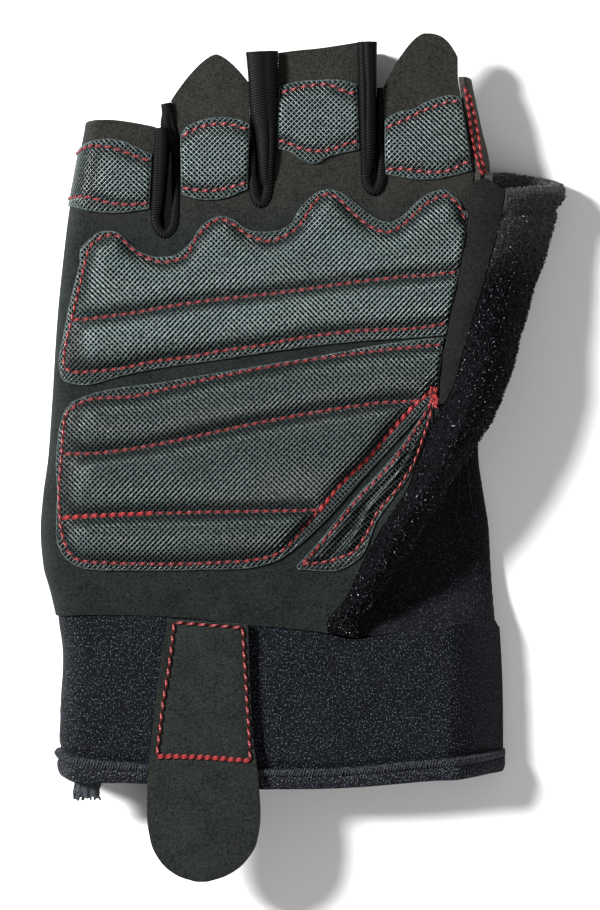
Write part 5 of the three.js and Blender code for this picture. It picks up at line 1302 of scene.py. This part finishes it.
# ------------------------------------------------------------------ cuff and hem
def cuff_point(c, y, t, lift=0.0):
    xl, xr, top = cuff["xl"](y) - lift, cuff["xr"](y) + lift, cuff["top"](y) + lift
    zl, zr, al, ar = 6.8, 3.4, 6.5, 13.0
    a1 = np.radians(clamp(c / 6) * 90)
    x1, z1 = xl + t + (al - t) * (1 - pw(np.cos(a1))), zl + (top - t - zl) * pw(np.sin(a1))
    x2, z2 = mix(xl + al, xr - ar, clamp((c - 6) / 10)), top - t
    s = clamp((22 - c) / 6)
    x3, z3 = mix(xr - t * 1.25, xr - ar, s), zr + (top - t - zr) * (1 - (1 - s) ** 1.6)
    a4 = np.radians(clamp((c - 22) / 3) * -90)
    x4, z4 = xr - t * 1.25 - (5 - t * 1.25) * (1 - np.cos(a4)), zr + (zr - t) * np.sin(a4)
    x5, z5 = mix(xr - 5, xl + 6, clamp((c - 25) / 11)), t + 0 * top
    a6 = np.radians(-90 + clamp((c - 36) / 4) * 90)
    x6, z6 = xl + t + (6 - t) * (1 - np.cos(a6)), zl + (zl - t) * np.sin(a6)
    pick = lambda *o: np.where(c < 6, o[0], np.where(c < 16, o[1], np.where(c < 22, o[2], np.where(c < 25, o[3], np.where(c < 36, o[4], o[5])))))
    return np.stack([pick(x1, x2, x3, x4, x5, x6), y + 0 * c, pick(z1, z2, z3, z4, z5, z6)], -1)


def below(c):
    return np.where(c <= 20, ease((4 - c) / 8), np.where(c < 26, ease((c - 20) / 5), np.where(c < 36, 1.0, mix(1, 0.5, ease((c - 36) / 4)))))


def ring_steps(step):
    """Even steps round the cuff."""
    c = np.linspace(0, 40, 1601)[:-1]
    p = cuff_point(c, np.full(len(c), -60.0), 0.0)
    s = np.r_[0, np.cumsum(np.linalg.norm(np.diff(p, axis=0), axis=1))]
    total = s[-1] + np.linalg.norm(p[0] - p[-1])
    at = np.arange(int(total / step)) * total / int(total / step)
    return np.interp(at, s, c), at


c, around = ring_steps(0.62)
x0 = cuff_point(c, np.full(len(c), -68.0), 0.0)[:, 0]
hi, lo = mix(wrist(x0) - 0.05, WRIST_BACK - 0.05, below(c)), hem_seam(x0) + 0.03
hi = hi + 0.35 * ease((x0 - 41.5) / 2) - 2.3 * clamp((x0 - 44.5) / 1.7) ** 2.2                 # rounded corner at the thumb side
v = np.linspace(0, 1, 56)[:, None]
y = mix(lo[None], hi[None], v)
cc = np.broadcast_to(c[None], y.shape)
outer, inner = cuff_point(cc, y, 0.0), cuff_point(cc, y, NEOPRENE)
nor = grid_normals(outer, ring=True)
nor *= np.sign(nor[20, len(c) // 4, 2])
upper = ease((outer[..., 2] - 4) / 6)
soft = (0.22 * noise(around[None] + 0 * y, y, 12, 91) + 0.10 * noise(around[None] + 0 * y, y, 4, 92) + 0.04 * noise(around[None] + 0 * y, y, 1.4, 93)) * upper
soft = soft - 0.55 * np.exp(-(((y - lo[None]) / 1.1) ** 2)) * upper            # drawn in at the hem seam
outer = outer + nor * soft[..., None]
cl = np.stack([around[None] + 0 * y, y], -1)
cuff_piece = piece(thick("cuff_neoprene", outer, inner, True, neoprene, cl), "neoprene", "cuff")

c, around = ring_steps(0.30)
x0 = cuff_point(c, np.full(len(c), -68.0), 0.0)[:, 0]
v = np.linspace(0, 1, 22)[:, None]
y = mix(hem_edge(x0)[None], (hem_seam(x0) - 0.03)[None], v)
cc = np.broadcast_to(c[None], y.shape)
down = clamp((below(c) - 0.5) * 2)[None]
lift = (0.45 - 0.5 * (1 - clamp(v / 0.35)) ** 2) * (1 - down)
base = cuff_point(cc, y, 0.0, 0.0)
outer = cuff_point(cc, y, 0.0, lift)
rib = 0.5 + 0.5 * np.cos(2 * math.pi * around / 0.92)[None]
upper = ease((outer[..., 2] - 3) / 5)
ridge = 0.75 * np.exp(-(((v - 0.86) / 0.13) ** 2)) - 0.35 * np.exp(-(((v - 0.62) / 0.08) ** 2))
nor = grid_normals(outer, ring=True)
nor *= np.sign(nor[10, len(c) // 4, 2])
soft = (0.13 * rib * np.sin(math.pi * clamp(v, 0.02, 0.98)) + ridge + 0.18 * noise(around[None] + 0 * y, y, 5, 94)) * upper
outer = outer + nor * soft[..., None]
outer[..., 2] = np.maximum(outer[..., 2], 0.0)
inner = cuff_point(cc, y, NEOPRENE + 0.35)
cl = np.stack([around[None] + 0 * y, y], -1)
hem = piece(thick("cuff_hem_band", outer, inner, True, hem_mat, cl), "neoprene", "cuff_hem")

# overlock thread along the hem ridge: slanted loops side by side
top_cols = np.where((c > 1.5) & (c < 22))[0]
paths = []
row_a, row_b = 14, 20
for a in np.arange(around[top_cols[0]], around[top_cols[-1]] - 1.0, 0.62):
    i, j = np.searchsorted(around, a), np.searchsorted(around, a + 0.55)
    i, j = min(i, len(c) - 1), min(j, len(c) - 1)
    p0, p1 = outer[row_a, i], outer[row_b, j]
    n0 = nor[row_a + 3, i]
    paths.append(np.array([p0 - n0 * 0.05, mix(p0, p1, 0.25) + n0 * 0.26, mix(p0, p1, 0.55) + n0 * 0.42, mix(p0, p1, 0.85) + n0 * 0.24, p1 - n0 * 0.05]))
piece(strands("hem_overlock", paths, 0.19, 5, hem_thread, taper=False), "neoprene", on=hem)


# ------------------------------------------------------------------ pull tab
def tab_outline(step=0.5):
    yl, yr = np.linspace(-36.9, -95.38, 200), np.linspace(-38.0, -95.38, 200)
    left = np.stack([tongue["xc"](yl) - tongue["hw"](yl), yl], 1)
    right = np.stack([tongue["xc"](yr) + tongue["hw"](yr), yr], 1)
    return even(np.vstack([left, right[::-1], left[:1]]), step)


def tab_z(x, y):
    s = (x - tongue["xc"](y)) / tongue["hw"](y)
    z = tongue["z"](y) + GAP + TAB - 0.5 * s * s * ease((-76 - y) / 10)
    return z + 0.12 * noise(x, y, 9, 101) + 0.05 * noise(x, y, 3, 102)


TAB_SEAM = [(-28.2, -37.5), (-29.2, -46.5), (-30.7, -56.0), (-32.0, -67.4)]
TAB_SEAM_RIGHT = [(-12.9, -38.6), (-12.3, -48.0), (-11.7, -58.0), (-11.1, -68.4)]
TAB_SEAM_LOW = [(-32.0, -67.4), (-22.4, -67.6), (-11.1, -68.4)]
TAB_SEAM_TOP = [(-28.2, -37.5), (-12.9, -38.7)]
tab_lines = [spline(q, 0.3) for q in (TAB_SEAM, TAB_SEAM_RIGHT, TAB_SEAM_LOW, TAB_SEAM_TOP)]
ring = tab_outline()
v2, tri = domain([ring], lambda x, y: inside(ring, x, y), 0.9, (-35, -96, -8, -37))
d = near(v2, np.vstack(tab_lines))
z = tab_z(v2[:, 0], v2[:, 1]) - 0.32 * np.exp(-((d / 0.8) ** 2))
top = np.column_stack([v2, z])
low = np.column_stack([v2, tab_z(v2[:, 0], v2[:, 1]) - TAB])
tab = piece(shell("pull_tab_suede", top, low, tri, suede_tab, v2), "suede", "pull_tab")
flat_tab = lambda x, y: (np.stack([x, y, tab_z(x, y) - 0.1], -1), np.broadcast_to([0.0, 0.0, 1.0], (*np.shape(x), 3)))
sew("pull_tab_stitches", tab_lines[:2] + tab_lines[3:], None, tab, pitch=2.45, surface=flat_tab, seed=103)
sew("pull_tab_bar", [tab_lines[2]], None, tab, surface=flat_tab, seed=104, pitch=1.7, double=0.40, material=red_worn)

# frayed tape end under the hem
yarn = []
rng = np.random.default_rng(111)
for kx in np.linspace(-50.9, -45.2, 46):
    y1, bend = rng.uniform(-78.2, -75.2), rng.uniform(-0.5, 0.5)
    yarn.append(np.array([(kx + bend * t * t + 0.15 * math.sin(9 * t + kx), mix(-73.4, y1, t), 12.4 - 0.6 * t + rng.uniform(-0.25, 0.35)) for t in np.linspace(0, 1, 7)]))
for y1 in np.linspace(-73.9, -77.2, 12):
    half = rng.uniform(2.0, 2.9)
    yarn.append(np.array([(-48.1 + half * t, y1 + 0.22 * math.sin(7 * t + y1), 12.6 + 0.3 * math.cos(9 * t)) for t in np.linspace(-1, 1, 9)]))
tail = piece(strands("hem_tail_yarn", yarn, 0.24, 6, tail_mat, taper=False), "neoprene", "hem_tail")

# ------------------------------------------------------------------ cloth and padding
# width and length of each cut piece, mm, its area in mm2, how it lies and on what
CLOTH = {
    "palm_suede": dict(flat=(114, 138), area=11400, held="laid", on=["back_panel"]),
    "back_stretch": dict(flat=(116, 130), area=12600, held="laid", on=["floor"]),
    "index_side_suede": dict(flat=(14, 58), area=720, held="folded", on=["back_panel"]),
    "thumb_suede": dict(flat=(10, 52), area=350, held="folded", on=["thumb_sleeve"]),
    "thumb_terry": dict(flat=(62, 104), area=3300, held="draped", on=["back_panel"]),
    "cuff_neoprene": dict(flat=(220, 34), area=7100, held="laid", on=["floor"]),
    "cuff_hem_band": dict(flat=(220, 10), area=1700, held="folded", on=["floor"]),
    "pull_tab_suede": dict(flat=(25.4, 59), area=1360, held="laid", on=["cuff"]),
    "fourchette_pinky_ring_knit": dict(flat=(17, 57), area=950, held="folded", on=["back_panel"]),
    "fourchette_ring_middle_knit": dict(flat=(15, 66), area=950, held="folded", on=["back_panel"]),
    "fourchette_middle_index_knit": dict(flat=(16, 66), area=1050, held="folded", on=["back_panel"]),
}
for name, q in CLOTH.items():
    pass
for name in CUTS:
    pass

# ------------------------------------------------------------------ floor, light, camera
floor_look = Look("floor_paper", rough=0.9, spec=0.1)
f = floor_look.noise(0.02, 2, 0.5)
floor_mat = floor_look.done(floor_look.mix(f, (0.86, 0.86, 0.86), (0.90, 0.90, 0.90)), floor_look.bump(floor_look.noise(0.6, 2), 0.05, 0.3))
n = 9
gx, gy = np.meshgrid(np.linspace(-1500, 1500, n), np.linspace(-1500, 1500, n), indexing="ij")
fl = build("floor", np.stack([gx, gy, np.full(gx.shape, -0.05)], -1).reshape(-1, 3), [tube(np.zeros((n, n, 3)), False)[:, ::-1]], floor_mat)


def area_light(name, where, at, size, watts, color=(1, 1, 1)):
    d = bpy.data.lights.new(name, "AREA")
    d.shape, d.size, d.energy, d.color = "DISK", size, watts, color
    o = bpy.data.objects.new(name, d)
    o.location = where
    o.rotation_euler = (Vector(at) - Vector(where)).to_track_quat("-Z", "Y").to_euler()
    bpy.context.scene.collection.objects.link(o)
    return o


area_light("key", (-0.66, 0.28, 0.60), (0, 0, 0), 0.20, 24.0)
area_light("fill", (0.45, -0.35, 0.9), (0, 0, 0), 0.9, 3.0)
world = bpy.data.worlds.new("studio")
bpy.context.scene.world = world
world.use_nodes = True
world.node_tree.nodes["Background"].inputs["Color"].default_value = (1, 1, 1, 1)
world.node_tree.nodes["Background"].inputs["Strength"].default_value = 0.27
bpy.context.scene.view_settings.view_transform = "Standard"

cam = bpy.data.cameras.new("camera")
cam.sensor_fit = "AUTO"
cam.sensor_width = 36.0
cam.lens = 18.0 / (104.65 / 700.0)
cam.clip_start, cam.clip_end = 0.01, 10
camera = bpy.data.objects.new("camera", cam)
camera.location = (-CENTRE[0] * 0.001, -CENTRE[1] * 0.001, 0.700)
camera.rotation_euler = (0, 0, 0)
bpy.context.scene.collection.objects.link(camera)
bpy.context.scene.camera = camera
